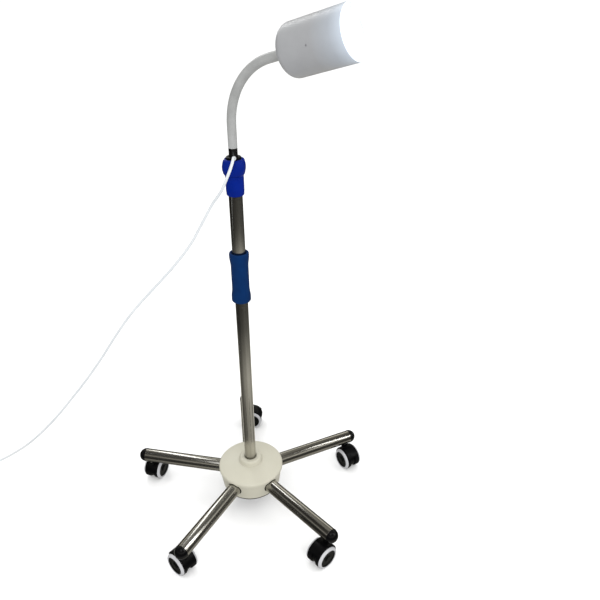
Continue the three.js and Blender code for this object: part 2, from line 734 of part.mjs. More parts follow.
const shadeBore = SHADE_RADIUS - SHADE_WALL;
const reflector = turnedAlongX(
  [
    [18, HEAT_SINK_FRONT + GAP],
    [19.5, HEAT_SINK_FRONT + GAP],
    [shadeBore - 1, LENS_FROM_BACK - 4],
    [shadeBore - 1, LENS_FROM_BACK - GAP],
    [shadeBore - 2.5, LENS_FROM_BACK - GAP],
    [shadeBore - 3, LENS_FROM_BACK - 4],
  ],
  WIDE_SIDES,
);
addPart("reflector", reflector, metal(0xe4e6e8, 0.1), head);
const lens = bar(shadeBore - 0.6, LENS_FROM_BACK, LENS_FROM_BACK + LENS_THICKNESS, WIDE_SIDES);
addPart("front_lens", lens.rotateY(Math.PI / 2), plastic(0xffffff, 0.15), head);

// ---- cord, coil and plug ----

function cordTube(route, steps) {
  const points = route.map(([x, y, z]) => new THREE.Vector3(x, y, z));
  const curve = new THREE.CatmullRomCurve3(points, false, "centripetal");
  return alongCurve(disc(CORD_RADIUS, CORD_SIDES), curve, steps);
}
addPart("cord_tube", cordTube(CORD_ROUTE, 66), white);
addPart("cord_tail", cordTube(TAIL_ROUTE, 10), white);

// The cord runs onto the coil's outer turn along that turn's tangent.
const routeEnd = new THREE.Vector3(...CORD_ROUTE[CORD_ROUTE.length - 1]);
const routeWay = routeEnd.clone().sub(new THREE.Vector3(...CORD_ROUTE[CORD_ROUTE.length - 2]));
routeWay.normalize();
const across = new THREE.Vector3(-routeWay.y, routeWay.x, 0);
const outerTurn = COIL_RADIUS + CORD_RADIUS;
const coilReach = COIL_RADIUS + COIL_COLUMNS * CORD_RADIUS;
const runOn = Math.sqrt((coilReach + CORD_RADIUS) ** 2 - outerTurn ** 2);
const coilCentre = routeEnd.clone().addScaledVector(routeWay, runOn).addScaledVector(across, outerTurn);
const coilInner = COIL_RADIUS - COIL_COLUMNS * CORD_RADIUS;
const coil = ring(coilInner, coilReach, GAP, GAP + 2 * CORD_RADIUS * COIL_LAYERS, WIDE_SIDES);
addPart("cord_coil", coil.translate(coilCentre.x, coilCentre.y, 0), white);

// The plug lies flat. +X runs from its boot to its pins, and the cord enters at the origin.
function plug() {
  const bodyEnd = BOOT_LENGTH + PLUG_LENGTH;
  const box = new RoundedBoxGeometry(PLUG_LENGTH, PLUG_WIDTH, PLUG_HEIGHT, 1, 3);
  let body = solid(box.translate(BOOT_LENGTH + PLUG_LENGTH / 2, 0, 0));
  const bootEnd = new THREE.Vector3(BOOT_LENGTH + 2, 0, 0);
  body = body.add(solid(taper(new THREE.Vector3(), bootEnd, CORD_RADIUS + 0.6, 6, 12)));
  for (const side of [-0.5, 0.5]) {
    const root = new THREE.Vector3(bodyEnd - 1, side * PIN_SPACING, 0);
    const tip = root.clone().setX(bodyEnd + PIN_LENGTH);
    body = body.add(solid(taper(root, tip, PIN_RADIUS, PIN_RADIUS, 8)));
  }
  return geometryOf(body);
}
const tailEnd = new THREE.Vector3(...TAIL_ROUTE[TAIL_ROUTE.length - 1]);
const tailWay = tailEnd.clone().sub(new THREE.Vector3(...TAIL_ROUTE[TAIL_ROUTE.length - 2]));
tailWay.setZ(0).normalize();
const plugPart = addPart("plug", plug(), white);
plugPart.position.copy(tailEnd).addScaledVector(tailWay, 2 * GAP);
plugPart.rotation.z = Math.atan2(tailWay.y, tailWay.x);

export default light;
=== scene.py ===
"""Looks of a mobile examination light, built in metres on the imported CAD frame.

+Z is up, the origin is on the floor under the mast, and the lamp faces +X.
Sections run: sizes, camera and cord, materials, shape helpers, then the light from the floor up.
"""

import json
from math import atan2, cos, pi, radians, remainder, sin, sqrt, tan

import bmesh
import bpy
from mathutils import Matrix, Vector


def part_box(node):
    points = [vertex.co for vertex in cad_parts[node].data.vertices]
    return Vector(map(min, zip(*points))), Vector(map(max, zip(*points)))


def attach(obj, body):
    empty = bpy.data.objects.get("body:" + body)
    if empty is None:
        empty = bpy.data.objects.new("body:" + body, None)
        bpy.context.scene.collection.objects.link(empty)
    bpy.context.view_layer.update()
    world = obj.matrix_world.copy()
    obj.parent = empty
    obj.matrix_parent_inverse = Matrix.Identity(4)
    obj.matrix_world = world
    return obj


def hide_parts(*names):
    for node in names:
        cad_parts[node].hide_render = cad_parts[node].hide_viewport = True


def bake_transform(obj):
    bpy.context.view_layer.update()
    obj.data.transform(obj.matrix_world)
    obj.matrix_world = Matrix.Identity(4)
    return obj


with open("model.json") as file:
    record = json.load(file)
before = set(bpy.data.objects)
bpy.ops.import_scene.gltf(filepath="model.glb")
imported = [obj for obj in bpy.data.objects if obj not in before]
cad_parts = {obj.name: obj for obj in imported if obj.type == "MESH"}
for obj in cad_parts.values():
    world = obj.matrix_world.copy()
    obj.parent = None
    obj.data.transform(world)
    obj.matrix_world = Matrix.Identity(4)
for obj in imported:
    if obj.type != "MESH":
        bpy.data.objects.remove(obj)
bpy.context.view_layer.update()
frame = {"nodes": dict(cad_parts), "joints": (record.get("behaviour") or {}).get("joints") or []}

# ---- sizes, read from the frame where it has them ----

joints = {joint["name"]: joint for joint in frame["joints"]}


def extent(node):
    """Floor, top and radius of a node that is round about the mast's axis."""
    low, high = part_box(node)
    return low.z, high.z, (high.x - low.x) / 2


GAP = 0.0003  # between pieces that meet
SHARP = radians(38)  # an edge that turns further than this stays sharp

LEGS = range(1, 6)
LEG_RADIUS = 0.019
LEG_WALL = 0.0015
LEG_START = 0.04
LEG_END = 0.325
CAP_RADIUS = LEG_RADIUS + 0.0008
LEG_HOLE_RADIUS = LEG_RADIUS + 0.002
LEG_AXIS_Z = sum(corner.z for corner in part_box("leg_cap_1")) / 2
HUB_SKIRT_Z, HUB_TOP_Z, HUB_RADIUS = extent("hub_cover")
HUB_RIM_Z = HUB_TOP_Z - 0.029
HUB_WALL = 0.003
HUB_FOOT_RADIUS = 0.0825
BOSS_FOOT_Z = HUB_TOP_Z - 0.014
MAST_RADIUS = extent("mast_upper")[2]
MAST_WALL = 0.0015

GRIP_WAIST_RADIUS = 0.0214
GRIP_FOOT = 0.012  # the full-width length at the grip's foot, then at its head
GRIP_HEAD = 0.011
GRIP_FLARE = 0.025

WHEEL_RADIUS = 0.0325
WHEEL_INNER = 0.007
WHEEL_OUTER = 0.027
SHOULDER_WIDTH = 0.0062  # of the pale band round a wheel's outer face
DISC_RADIUS = 0.0249
AXLE_RADIUS = 0.004
HOOD_RADIUS = 0.0362
HOOD_WALL = 0.0023
HOOD_HALF_WIDTH = 0.02
HOOD_START = 32  # degrees up from the way the caster trails
HOOD_END = 172
WEB_HALF_WIDTH = WHEEL_INNER - 0.0008

NECK_RADIUS = 0.0101
NECK_FOOT_Z = extent("neck_root")[0]
NECK_STRAIGHT = 0.05
NECK_BEND_RADIUS = 0.1487
NECK_BEND = radians(73)
NECK_LENGTH = 0.29
NECK_COIL_PITCH = 0.0024
NECK_PIVOTS = (0.056, 0.113, 0.17, 0.227)

SHADE_RADIUS = 0.051
SHADE_LENGTH = 0.153
SHADE_WALL = 0.0018
SHADE_CORNER = 0.018
LENS_FROM_BACK = 0.132
SCREW_FROM_BACK = 0.077

CORD_RADIUS = 0.00325
COIL_RADIUS = 0.036  # middle of the coil's turns
COIL_LAYERS = 4
COIL_LAST_TURN = 156  # degrees of the top layer's outer turn, to where the cord leaves it
COIL_FLOOR = 0.0003
GLAND_ROOT = Vector((0.0092, -0.0084, 1.0264))
GLAND_TIP = Vector((0.0213, -0.0239, 1.0329))
# The cord's route as in the CAD source: from the strain relief to the coil, and from it to the plug.
CORD_ROUTE = (
    (0.0217, -0.0244, 1.0331), (0.0252, -0.0289, 1.0349), (0.029, -0.0347, 1.0334),
    (0.031, -0.041, 1.0265), (0.03, -0.0464, 1.016), (0.0264, -0.051, 1.003),
    (0.0205, -0.0545, 0.988), (0.011, -0.0573, 0.968), (-0.001, -0.0596, 0.951),
    (-0.014, -0.062, 0.934), (-0.038, -0.073, 0.889), (-0.068, -0.087, 0.833),
    (-0.105, -0.104, 0.78), (-0.146, -0.123, 0.728), (-0.187, -0.142, 0.679),
    (-0.232, -0.163, 0.621), (-0.277, -0.184, 0.553), (-0.323, -0.205, 0.479),
    (-0.377, -0.23, 0.398), (-0.432, -0.255, 0.322), (-0.486, -0.28, 0.25),
    (-0.541, -0.305, 0.184), (-0.595, -0.33, 0.127), (-0.65, -0.355, 0.079),
    (-0.695, -0.376, 0.045), (-0.733, -0.394, 0.021), (-0.752, -0.403, 0.0115),
    (-0.769, -0.411, 0.0058), (-0.787, -0.42, 0.0036), (-0.806, -0.429, 0.0036),
)
TAIL_ROUTE = (
    (-0.786, -0.5138, 0.0223), (-0.776, -0.514, 0.0213), (-0.766, -0.5146, 0.0186),
    (-0.756, -0.5155, 0.0148), (-0.746, -0.5165, 0.0109), (-0.736, -0.5173, 0.0074),
    (-0.726, -0.5177, 0.005), (-0.716, -0.5177, 0.0038), (-0.706, -0.5172, 0.004),
    (-0.696, -0.5164, 0.0056), (-0.686, -0.5154, 0.0072),
)

# ---- camera: standing height, looking down on the base ----

CAMERA_PLACE = (0.8844, -1.0068, 1.425)
CAMERA_TURN = (60.3, 0.17, 35.0)  # degrees

camera_data = bpy.data.cameras.new("camera")
camera_data.lens = 37.14
camera_data.clip_start = 0.01
camera_data.clip_end = 200
camera = bpy.data.objects.new("camera", camera_data)
camera.location = CAMERA_PLACE
camera.rotation_euler = [radians(angle) for angle in CAMERA_TURN]
bpy.context.scene.collection.objects.link(camera)
bpy.context.scene.camera = camera


# ---- materials ----


def srgb(red, green, blue):
    """A linear colour from the usual 0 to 255 values."""
    values = [value / 255 for value in (red, green, blue)]
    linear = [v / 12.92 if v <= 0.04045 else ((v + 0.055) / 1.055) ** 2.4 for v in values]
    return (*linear, 1.0)


class Nodes:
    """A node tree, with short ways to add the nodes used here."""

    def __init__(self, tree):
        self.tree = tree

    def add(self, kind, sockets=None, **settings):
        """A node with its settings, and its inputs by name or number."""
        node = self.tree.nodes.new(kind)
        for key, value in settings.items():
            setattr(node, key, value)
        for key, value in (sockets or {}).items():
            self.feed(node.inputs[key], value)
        return node

    def feed(self, target, value):
        """Sets a socket to a number or colour, or links it."""
        if isinstance(value, bpy.types.NodeSocket):
            self.tree.links.new(value, target)
        else:
            target.default_value = value

    def ramp(self, value, *stops):
        """A colour ramp with (position, colour) stops."""
        node = self.add("ShaderNodeValToRGB", {"Fac": value})
        elements = node.color_ramp.elements
        while len(elements) < len(stops):
            elements.new(0.5)
        for element, (position, colour) in zip(elements, stops):
            element.position = position
            element.color = colour
        return node.outputs["Color"]

    def product(self, first, second):
        """One colour multiplied by another."""
        sockets = {"Factor": 1.0, "A": first, "B": second}
        node = self.add("ShaderNodeMix", sockets, data_type="RGBA", blend_type="MULTIPLY")
        return node.outputs["Result"]

    def calculate(self, operation, *values):
        node = self.add("ShaderNodeMath", dict(enumerate(values)), operation=operation)
        return node.outputs["Value"]

    def plus(self, first, second):
        return self.calculate("ADD", first, second)

    def times(self, first, second):
        return self.calculate("MULTIPLY", first, second)


class Maker(Nodes):
    """A new material and the nodes of its look."""

    def __init__(self, name):
        self.material = bpy.data.materials.new(name)
        self.material.use_nodes = True
        super().__init__(self.material.node_tree)
        self.shader = self.tree.nodes["Principled BSDF"]
        self.place = self.add("ShaderNodeTexCoord").outputs["Object"]

    def noise(self, scale, detail=3.0, roughness=0.5, stretch=None):
        """Noise over the object's own coordinates, which may be scaled along each axis."""
        place = self.place
        if stretch:
            place = self.add("ShaderNodeMapping", {"Vector": place, "Scale": stretch}).outputs["Vector"]
        sockets = {"Vector": place, "Scale": scale, "Detail": detail, "Roughness": roughness}
        return self.add("ShaderNodeTexNoise", sockets).outputs["Fac"]

    def cells(self, scale, feature="F1"):
        sockets = {"Vector": self.place, "Scale": scale}
        return self.add("ShaderNodeTexVoronoi", sockets, feature=feature).outputs["Distance"]

    def mottled(self, value, dark, light, low=0.3, high=0.7):
        """A blend of two colours of 0 to 255 values, over a noise's usual range."""
        return self.ramp(value, (low, srgb(*dark)), (high, srgb(*light)))

    def span(self, value, low, high, source_low=0.3, source_high=0.7):
        """Maps a noise's usual range to a range of values."""
        sockets = {"Value": value, "From Min": source_low, "From Max": source_high}
        sockets |= {"To Min": low, "To Max": high}
        return self.add("ShaderNodeMapRange", sockets).outputs["Result"]

    def bump(self, height, distance, strength=1.0, below=None):
        sockets = {"Strength": strength, "Distance": distance, "Height": height}
        if below:
            sockets["Normal"] = below
        return self.add("ShaderNodeBump", sockets).outputs["Normal"]

    def done(self, colour, roughness, normal=None, **inputs):
        """The material, with inputs by socket name, underscores for spaces."""
        inputs |= {"base_color": colour, "roughness": roughness}
        if normal:
            inputs["normal"] = normal
        for name, value in inputs.items():
            self.feed(self.shader.inputs[name.replace("_", " ").title().replace("Ior", "IOR")], value)
        return self.material


def moulded(name, colour, darker, roughness, grain=1800, depth=0.00004, smear=0.12, shine=0.5):
    """Moulded plastic: slightly uneven colour, a fine grain, and handled patches in its gloss."""
    maker = Maker(name)
    tint = maker.mottled(maker.noise(14, 4, 0.6), darker, colour)
    handled = maker.span(maker.noise(32, 5, 0.62), roughness - smear, roughness + smear)
    fine = maker.bump(maker.noise(grain, 2, 0.5), depth, 0.5)
    uneven = maker.bump(maker.noise(55, 2, 0.4), 0.0005, 0.25, fine)
    return maker.done(tint, handled, uneven, specular_ior_level=shine)


def tube_steel(name, bright, dark, gloss):
    """Polished tube: long light and dark streaks along its own Z that are painted reflections, fine drawn
    lines and faint smudges.
    """
    maker = Maker(name)
    lines = maker.noise(1, 2, 0.4, (200, 200, 0.5))
    # painted reflections: long light and dark streaks in the colour stand in for the room mirrored in the
    # polish
    painted_reflection_streaks = maker.noise(1, 2, 0.4, (75, 75, 0.25))
    lines_and_painted_reflections = maker.plus(maker.times(lines, 0.25), maker.times(painted_reflection_streaks, 0.75))
    tint = maker.mottled(lines_and_painted_reflections, dark, bright, 0.36, 0.64)
    smudge = maker.span(maker.noise(22, 4, 0.6), 0.0, 0.05)
    polish = maker.plus(maker.span(lines, gloss - 0.02, gloss + 0.03), smudge)
    relief = maker.bump(lines, 0.000003, 0.3)
    return maker.done(tint, polish, relief, metallic=1.0)


def coated_steel(name, dark, light, blotch, wear, gloss, grain, depth, **inputs):
    """Plated or painted steel: two blended colours, a patchy shine and a fine grain."""
    maker = Maker(name)
    tint = maker.mottled(maker.noise(blotch, 4), dark, light)
    polish = maker.span(maker.noise(wear, 4), *gloss)
    relief = maker.bump(maker.noise(grain, 2), depth, 0.5)
    return maker.done(tint, polish, relief, **inputs)


def hub_plastic():
    """Cream ABS with faint yellowing and a few hairline scuffs."""
    maker = Maker("cream_plastic")
    tint = maker.mottled(maker.noise(9, 4, 0.6), (179, 176, 160), (184, 181, 166))
    hairlines = maker.noise(1, 8, 0.75, (30, 260, 30))
    scuffs = maker.mottled(hairlines, (0, 0, 0), (255, 255, 255), 0.66, 0.76)
    polish = maker.plus(maker.span(maker.noise(18, 3), 0.34, 0.42), maker.times(scuffs, 0.08))
    fine = maker.bump(maker.noise(1500, 2), 0.00003, 0.5)
    return maker.done(tint, polish, fine)


def grip_rubber():
    """Teal-blue rubber sleeve: matt, with a pebbled skin and rubbed patches."""
    maker = Maker("grip_rubber")
    tint = maker.mottled(maker.noise(24, 5, 0.65), (0, 33, 76), (0, 41, 88), 0.28, 0.72)
    rubbed = maker.span(maker.noise(40, 4), 0.5, 0.72)
    pebble = maker.bump(maker.cells(1300), 0.00012, 0.45)
    soft = maker.bump(maker.noise(90, 3), 0.0006, 0.3, pebble)
    return maker.done(tint, rubbed, soft, specular_ior_level=0.1)


def neck_vinyl():
    """Grey vinyl sleeve shrunk on a steel gooseneck, whose coils show through as faint ripples."""
    maker = Maker("neck_sleeve")
    along = maker.add("ShaderNodeAttribute", attribute_name="along").outputs["Fac"]
    turns = maker.calculate("SINE", maker.times(along, 2 * pi / NECK_COIL_PITCH))
    tint = maker.mottled(maker.noise(30, 4, 0.6), (144, 145, 144), (159, 160, 159))
    polish = maker.span(maker.noise(60, 4), 0.34, 0.5)
    ripple = maker.bump(turns, 0.00004, 0.5)
    fine = maker.bump(maker.noise(700, 2), 0.00005, 0.4, ripple)
    return maker.done(tint, polish, fine, specular_tint=(1, 1, 1, 1))


def shade_paint():
    """Satin grey plastic, painted paler and bluer towards the open front as painted lamp light, with a
    painted glow near the front that is brightest on the rolled lip.
    """
    maker = Maker("shade_paint")
    from_back = maker.add("ShaderNodeSeparateXYZ", {"Vector": maker.place}).outputs["Z"]
    front = maker.span(from_back, 0.0, 1.0, 0.55 * SHADE_LENGTH, SHADE_LENGTH)
    # painted light: the colour turns paler and bluer towards the open front, as if lit from inside
    back, middle, edge = srgb(150, 151, 153), srgb(158, 163, 170), srgb(180, 189, 200)
    painted_rim_light = maker.ramp(front, (0.0, back), (0.6, middle), (1.0, edge))
    mottle = maker.span(maker.noise(34, 4), 0.94, 1.0)
    tint = maker.product(painted_rim_light, mottle)
    polish = maker.span(maker.noise(70, 3), 0.36, 0.5)
    peel = maker.bump(maker.noise(620, 3), 0.00009, 0.45)
    # painted glow: emission near the front and on the rolled lip, though the shade is no lamp
    lip = maker.span(from_back, 0.0, 1.2, SHADE_LENGTH - 0.0018, SHADE_LENGTH - 0.0006)
    glow = maker.plus(maker.times(maker.calculate("POWER", front, 3.0), 0.08), lip)
    light = {"emission_color": srgb(214, 228, 240), "emission_strength": glow}
    return maker.done(tint, polish, peel, **light)


def lit_lens():
    """Diffusing lens, lit from behind, with brighter spots, as over LEDs, and fine prisms."""
    maker = Maker("lens")
    spots = maker.ramp(maker.cells(62), (0.0, (1, 1, 1, 1)), (0.42, (0.35, 0.35, 0.35, 1)))
    light = {"emission_color": srgb(236, 244, 255), "emission_strength": maker.times(spots, 7.0)}
    prisms = maker.bump(maker.cells(520, "SMOOTH_F1"), 0.0003, 0.6)
    tint = maker.mottled(maker.noise(40), (240, 244, 250), (252, 253, 255))
    polish = maker.span(maker.noise(200), 0.15, 0.25)
    return maker.done(tint, polish, prisms, **light)


def brushed_metal(name, colour, darker, gloss):
    """Extruded or spun metal, with fine lines round its axis."""
    maker = Maker(name)
    lines = maker.noise(1, 5, 0.7, (40, 40, 1200))
    tint = maker.mottled(lines, darker, colour)
    polish = maker.span(lines, gloss - 0.05, gloss + 0.08)
    relief = maker.bump(lines, 0.00004, 0.4)
    return maker.done(tint, polish, relief, metallic=1.0)


STEEL = tube_steel("polished_steel", (206, 204, 198), (150, 147, 140), 0.15)
ROD_STEEL = tube_steel("rod_steel", (104, 104, 104), (40, 40, 42), 0.24)
ZINC = coated_steel(
    "zinc_steel", (150, 150, 148), (198, 199, 197), 180, 420, (0.22, 0.42), 2400, 0.00003, metallic=1.0
)
DARK_STEEL = coated_steel("dark_steel", (22, 22, 23), (38, 38, 40), 60, 90, (0.32, 0.5), 900, 0.00006)
CREAM = hub_plastic()
BLACK = moulded("black_plastic", (10, 10, 11), (4, 4, 5), 0.36, shine=0.14)
GLOSS_BLACK = moulded("cap_black", (10, 10, 11), (5, 5, 6), 0.18, depth=0.00001, smear=0.04, shine=0.25)
TREAD = moulded("tread_black", (12, 12, 14), (5, 5, 7), 0.44, grain=1300, depth=0.00006, shine=0.13)
BAND_GREY = moulded("band_grey", (186, 186, 188), (170, 170, 173), 0.42)
DISC_BLACK = moulded("disc_black", (11, 12, 12), (5, 6, 6), 0.36, shine=0.15)
BLUE = moulded("blue_plastic", (0, 31, 126), (0, 24, 108), 0.4, shine=0.08)
NYLON = moulded("nylon", (226, 223, 212), (212, 208, 196), 0.45)
WHITE = moulded("cord_white", (212, 215, 217), (200, 204, 207), 0.42, grain=900)
GRIP = grip_rubber()
NECK = neck_vinyl()
SHADE = shade_paint()
LENS = lit_lens()
ALUMINIUM = brushed_metal("aluminium", (206, 207, 209), (168, 169, 172), 0.3)
MIRROR = brushed_metal("reflector_chrome", (240, 241, 243), (222, 223, 226), 0.08)
SCREW_GREY = moulded("painted_screw", (142, 143, 145), (128, 129, 131), 0.42)
BRASS = brushed_metal("pin_brass", (212, 180, 116), (176, 144, 88), 0.22)

# ---- shape helpers ----


def new_object(name, build, *materials):
    """A mesh object made by build(bm), shaded smooth but for its sharp edges."""
    mesh = bpy.data.meshes.new(name)
    bm = bmesh.new()
    build(bm)
    bmesh.ops.remove_doubles(bm, verts=bm.verts, dist=1e-6)
    bmesh.ops.recalc_face_normals(bm, faces=bm.faces)
    bm.to_mesh(mesh)
    bm.free()
    for material in materials:
        mesh.materials.append(material)
    made = bpy.data.objects.new(name, mesh)
    bpy.context.scene.collection.objects.link(made)
    smooth(made)
    return made


def smooth(made):
    made.data.shade_smooth()
    made.data.set_sharp_from_angle(angle=SHARP)


def rounded(corners, steps=5):
    """An outline of corners (x, y) or (x, y, radius), with an arc at each that has a radius."""
    outline = []
    for index, corner in enumerate(corners):
        here = Vector(corner[:2])
        radius = corner[2] if len(corner) > 2 else 0
        if radius == 0 or index in (0, len(corners) - 1):
            outline.append(here)
            continue
        before = (Vector(corners[index - 1][:2]) - here).normalized()
        after = (Vector(corners[index + 1][:2]) - here).normalized()
        half = before.angle(after) / 2
        centre = here + (before + after).normalized() * (radius / sin(half))
        start = here + before * (radius / tan(half)) - centre
        sweep = start.angle_signed(here + after * (radius / tan(half)) - centre)
        for step in range(steps + 1):
            outline.append(centre + Matrix.Rotation(-sweep * step / steps, 2) @ start)
    return outline


def arc(centre, radius, start, end, steps=8):
    """Points round an arc, angles in degrees."""
    angles = [radians(start + (end - start) * step / steps) for step in range(steps + 1)]
    return [(centre[0] + radius * cos(a), centre[1] + radius * sin(a)) for a in angles]


def skin(bm, rings, closed=False):
    """Faces between successive rings of vertices. A ring on one vertex makes a fan."""
    pairs = list(zip(rings, rings[1:]))
    if closed:
        pairs.append((rings[-1], rings[0]))
    faces = []
    for lower, upper in pairs:
        for index, here in enumerate(lower):
            following = (index + 1) % len(lower)
            corners = dict.fromkeys((here, lower[following], upper[following], upper[index]))
            if len(corners) > 2:
                faces.append(bm.faces.new(corners))
    return faces


def spin(bm, corners, segments, material=0, steps=5, closed=False):
    """Turns an outline of (radius, z) corners, rounded where they say, about Z."""
    turns = [2 * pi * step / segments for step in range(segments)]
    rings = []
    for radius, z in rounded(corners, steps):
        if radius < 1e-7:
            rings.append([bm.verts.new((0, 0, z))] * segments)
        else:
            rings.append([bm.verts.new((radius * cos(a), radius * sin(a), z)) for a in turns])
    for face in skin(bm, rings, closed):
        face.material_index = material


def lathe(name, corners, *materials, segments=96, steps=5):
    """A turned solid. An outline that starts off the axis is closed into a ring."""
    closed = corners[0][0] > 0
    return new_object(name, lambda bm: spin(bm, corners, segments, 0, steps, closed), *materials)


def pipe(name, bore, radius, low, high, *materials, edges=(0, 0), segments=96, steps=5):
    """A round tube about Z, or a bar if it has no bore, with its two outer edges rounded."""
    corners = [(bore, low), (radius, low, edges[0]), (radius, high, edges[1]), (bore, high)]
    return lathe(name, corners, *materials, segments=segments, steps=steps)


def loft(bm, outlines, capped=True):
    """A skin through outlines of 3-D points, with a face over each end if it is capped."""
    rings = [[bm.verts.new(point) for point in outline] for outline in outlines]
    skin(bm, rings)
    if capped:
        bm.faces.new(rings[0])
        bm.faces.new(rings[-1])


def extrude(bm, outline, low, high):
    """A prism of an (x, z) outline, from y = low to y = high."""
    loft(bm, [[(x, y, z) for x, z in outline] for y in (low, high)])


def bevel(made, width, segments=3, angle=30):
    """Rounds a piece's sharp edges, with the result applied to its mesh."""
    modifier = made.modifiers.new("bevel", "BEVEL")
    modifier.width = width
    modifier.segments = segments
    modifier.limit_method = "ANGLE"
    modifier.angle_limit = radians(angle)
    modifier.use_clamp_overlap = True
    return applied(made)


def applied(made):
    """Puts the result of the piece's modifiers in its mesh."""
    evaluated = made.evaluated_get(bpy.context.evaluated_depsgraph_get())
    mesh = bpy.data.meshes.new_from_object(evaluated)
    made.modifiers.clear()
    made.data = mesh
    smooth(made)
    return made


def cut(made, *cutters, operation="DIFFERENCE"):
    """Cuts the cutters from a piece, or keeps what lies in all of them, and removes them."""
    for cutter in cutters:
        modifier = made.modifiers.new("cut", "BOOLEAN")
        modifier.operation = operation
        modifier.solver = "EXACT"
        modifier.object = cutter
    bpy.context.view_layer.update()
    applied(made)
    for cutter in cutters:
        bpy.data.objects.remove(cutter)
    return made


def join(made, *others):
    """Moves the others' meshes into a piece, in place, and removes them."""
    bm = bmesh.new()
    bm.from_mesh(made.data)
    for other in others:
        bpy.context.view_layer.update()
        extra = other.data.copy()
        extra.transform(made.matrix_world.inverted() @ other.matrix_world)
        slots = [material_slot(made, material) for material in extra.materials]
        for polygon in extra.polygons:
            polygon.material_index = slots[polygon.material_index]
        bm.from_mesh(extra)
        bpy.data.meshes.remove(extra)
        bpy.data.objects.remove(other)
    bm.to_mesh(made.data)
    bm.free()
    return made


def material_slot(made, material):
    """The index of a material on a piece, which gets it if it has it not."""
    if material.name not in made.data.materials:
        made.data.materials.append(material)
    return made.data.materials.find(material.name)


def put(made, body, *nodes, slot=None, at=None):
    """Places a piece under its body and hides the CAD nodes it stands for. Its slot is not used."""
    if at:
        made.matrix_world = at
    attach(made, body)
    # Blender numbers a material that has the name of one of the CAD's.
    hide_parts(*nodes)
    return made


QUARTER = pi / 2


# ---- cord: one line from the strain relief through its coil to the plug ----


def smooth_route(route, step=0.004):
    """A centripetal Catmull-Rom curve through the points."""
    points = [Vector(point) for point in route]
    points = [2 * points[0] - points[1], *points, 2 * points[-1] - points[-2]]
    line = []
    for p0, p1, p2, p3 in zip(points, points[1:], points[2:], points[3:]):
        t1 = sqrt((p1 - p0).length)
        t2 = t1 + sqrt((p2 - p1).length)
        t3 = t2 + sqrt((p3 - p2).length)
        count = max(1, round((p2 - p1).length / step))
        for index in range(count):
            t = t1 + (t2 - t1) * index / count
            a1 = p0.lerp(p1, t / t1)
            a2 = p1.lerp(p2, (t - t1) / (t2 - t1))
            a3 = p2.lerp(p3, (t - t2) / (t3 - t2))
            b1 = a1.lerp(a2, t / t2)
            b2 = a2.lerp(a3, (t - t1) / (t3 - t1))
            line.append(b1.lerp(b2, (t - t1) / (t2 - t1)))
    line.append(points[-2])
    return line


def coil_line(entry, way):
    """The coil's turns: two columns a diameter apart, layer on layer.

    Each change of place takes about a fifth of a turn, and starts a little earlier in its turn
    than the one before.
    """
    outer = COIL_RADIUS + CORD_RADIUS
    inner = COIL_RADIUS - CORD_RADIUS
    columns = [outer, inner, inner, outer]
    heights = [COIL_FLOOR + CORD_RADIUS * (1 + 2 * layer) for layer in range(COIL_LAYERS)]
    places = [(columns[turn % 4], heights[turn // 2]) for turn in range(2 * COIL_LAYERS)]
    start = atan2(way.y, way.x) - QUARTER
    centre = entry - outer * Vector((cos(start), sin(start), 0))
    change, stagger = 66, 25
    line = []
    for degrees in range(0, 360 * (len(places) - 1) + COIL_LAST_TURN, 6):
        turn = 0
        share = 0.0
        for index in range(1, len(places)):
            began = 360 * index - change - stagger * (index - 1)
            if degrees >= began:
                turn = index
                share = min(1.0, (degrees - began) / change)
        eased = share * share * (3 - 2 * share)
        before = Vector(places[max(0, turn - 1)])
        radius, height = before.lerp(Vector(places[turn]), eased if turn else 0)
        angle = start + radians(degrees)
        spoke = Vector((cos(angle), sin(angle), 0))
        line.append(Vector((centre.x, centre.y, height)) + radius * spoke)
    return line


def cord_line():
    """The cord's centre line: down from its outlet, round the coil and on to the plug."""
    stretch = smooth_route(CORD_ROUTE)
    end = stretch[-1]
    way = (end - stretch[-2]).normalized()
    coil_low, coil_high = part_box("cord_coil")
    reach = (coil_high.x - coil_low.x) / 2
    run_on = sqrt((reach + CORD_RADIUS) ** 2 - (COIL_RADIUS + CORD_RADIUS) ** 2)
    return stretch + coil_line(end + way * run_on, way) + smooth_route(TAIL_ROUTE)


def line_curve(name, line, radius, material):
    data = bpy.data.curves.new(name, "CURVE")
    data.dimensions = "3D"
    data.bevel_depth = radius
    data.bevel_resolution = 5
    data.use_fill_caps = True
    spline = data.splines.new("POLY")
    spline.points.add(len(line) - 1)
    for point, place in zip(spline.points, line):
        point.co = (*place, 1)
    spline.use_smooth = True
    data.materials.append(material)
    made = bpy.data.objects.new(name, data)
    bpy.context.scene.collection.objects.link(made)
    return made


def along(start, end):
    """A matrix whose Z runs from start to end, with its origin at start."""
    turn = (end - start).to_track_quat("Z", "Y").to_matrix().to_4x4()
    return Matrix.Translation(start) @ turn


def strain_relief():
    """A tapered boot with soft ribs, seated in the outlet collar."""
    length = (GLAND_TIP - GLAND_ROOT).length
    outline = [(CORD_RADIUS, 0.0), (0.0046, 0.0)]
    ribs = 5
    for index in range(ribs):
        low = length * (0.16 + 0.74 * index / ribs)
        high = length * (0.16 + 0.74 * (index + 0.62) / ribs)
        radius = 0.0046 - 0.0008 * index / ribs
        groove = radius - 0.0006
        outline += [(radius, low), (radius, high), (groove, high + 0.0005), (groove, high + 0.001)]
    outline += [(0.0038, length - 0.0008), (0.0036, length), (CORD_RADIUS, length)]
    boot = lathe("strain_relief_boot", outline, WHITE, segments=48)
    return put(boot, "base", "strain_relief", at=along(GLAND_ROOT, GLAND_TIP))


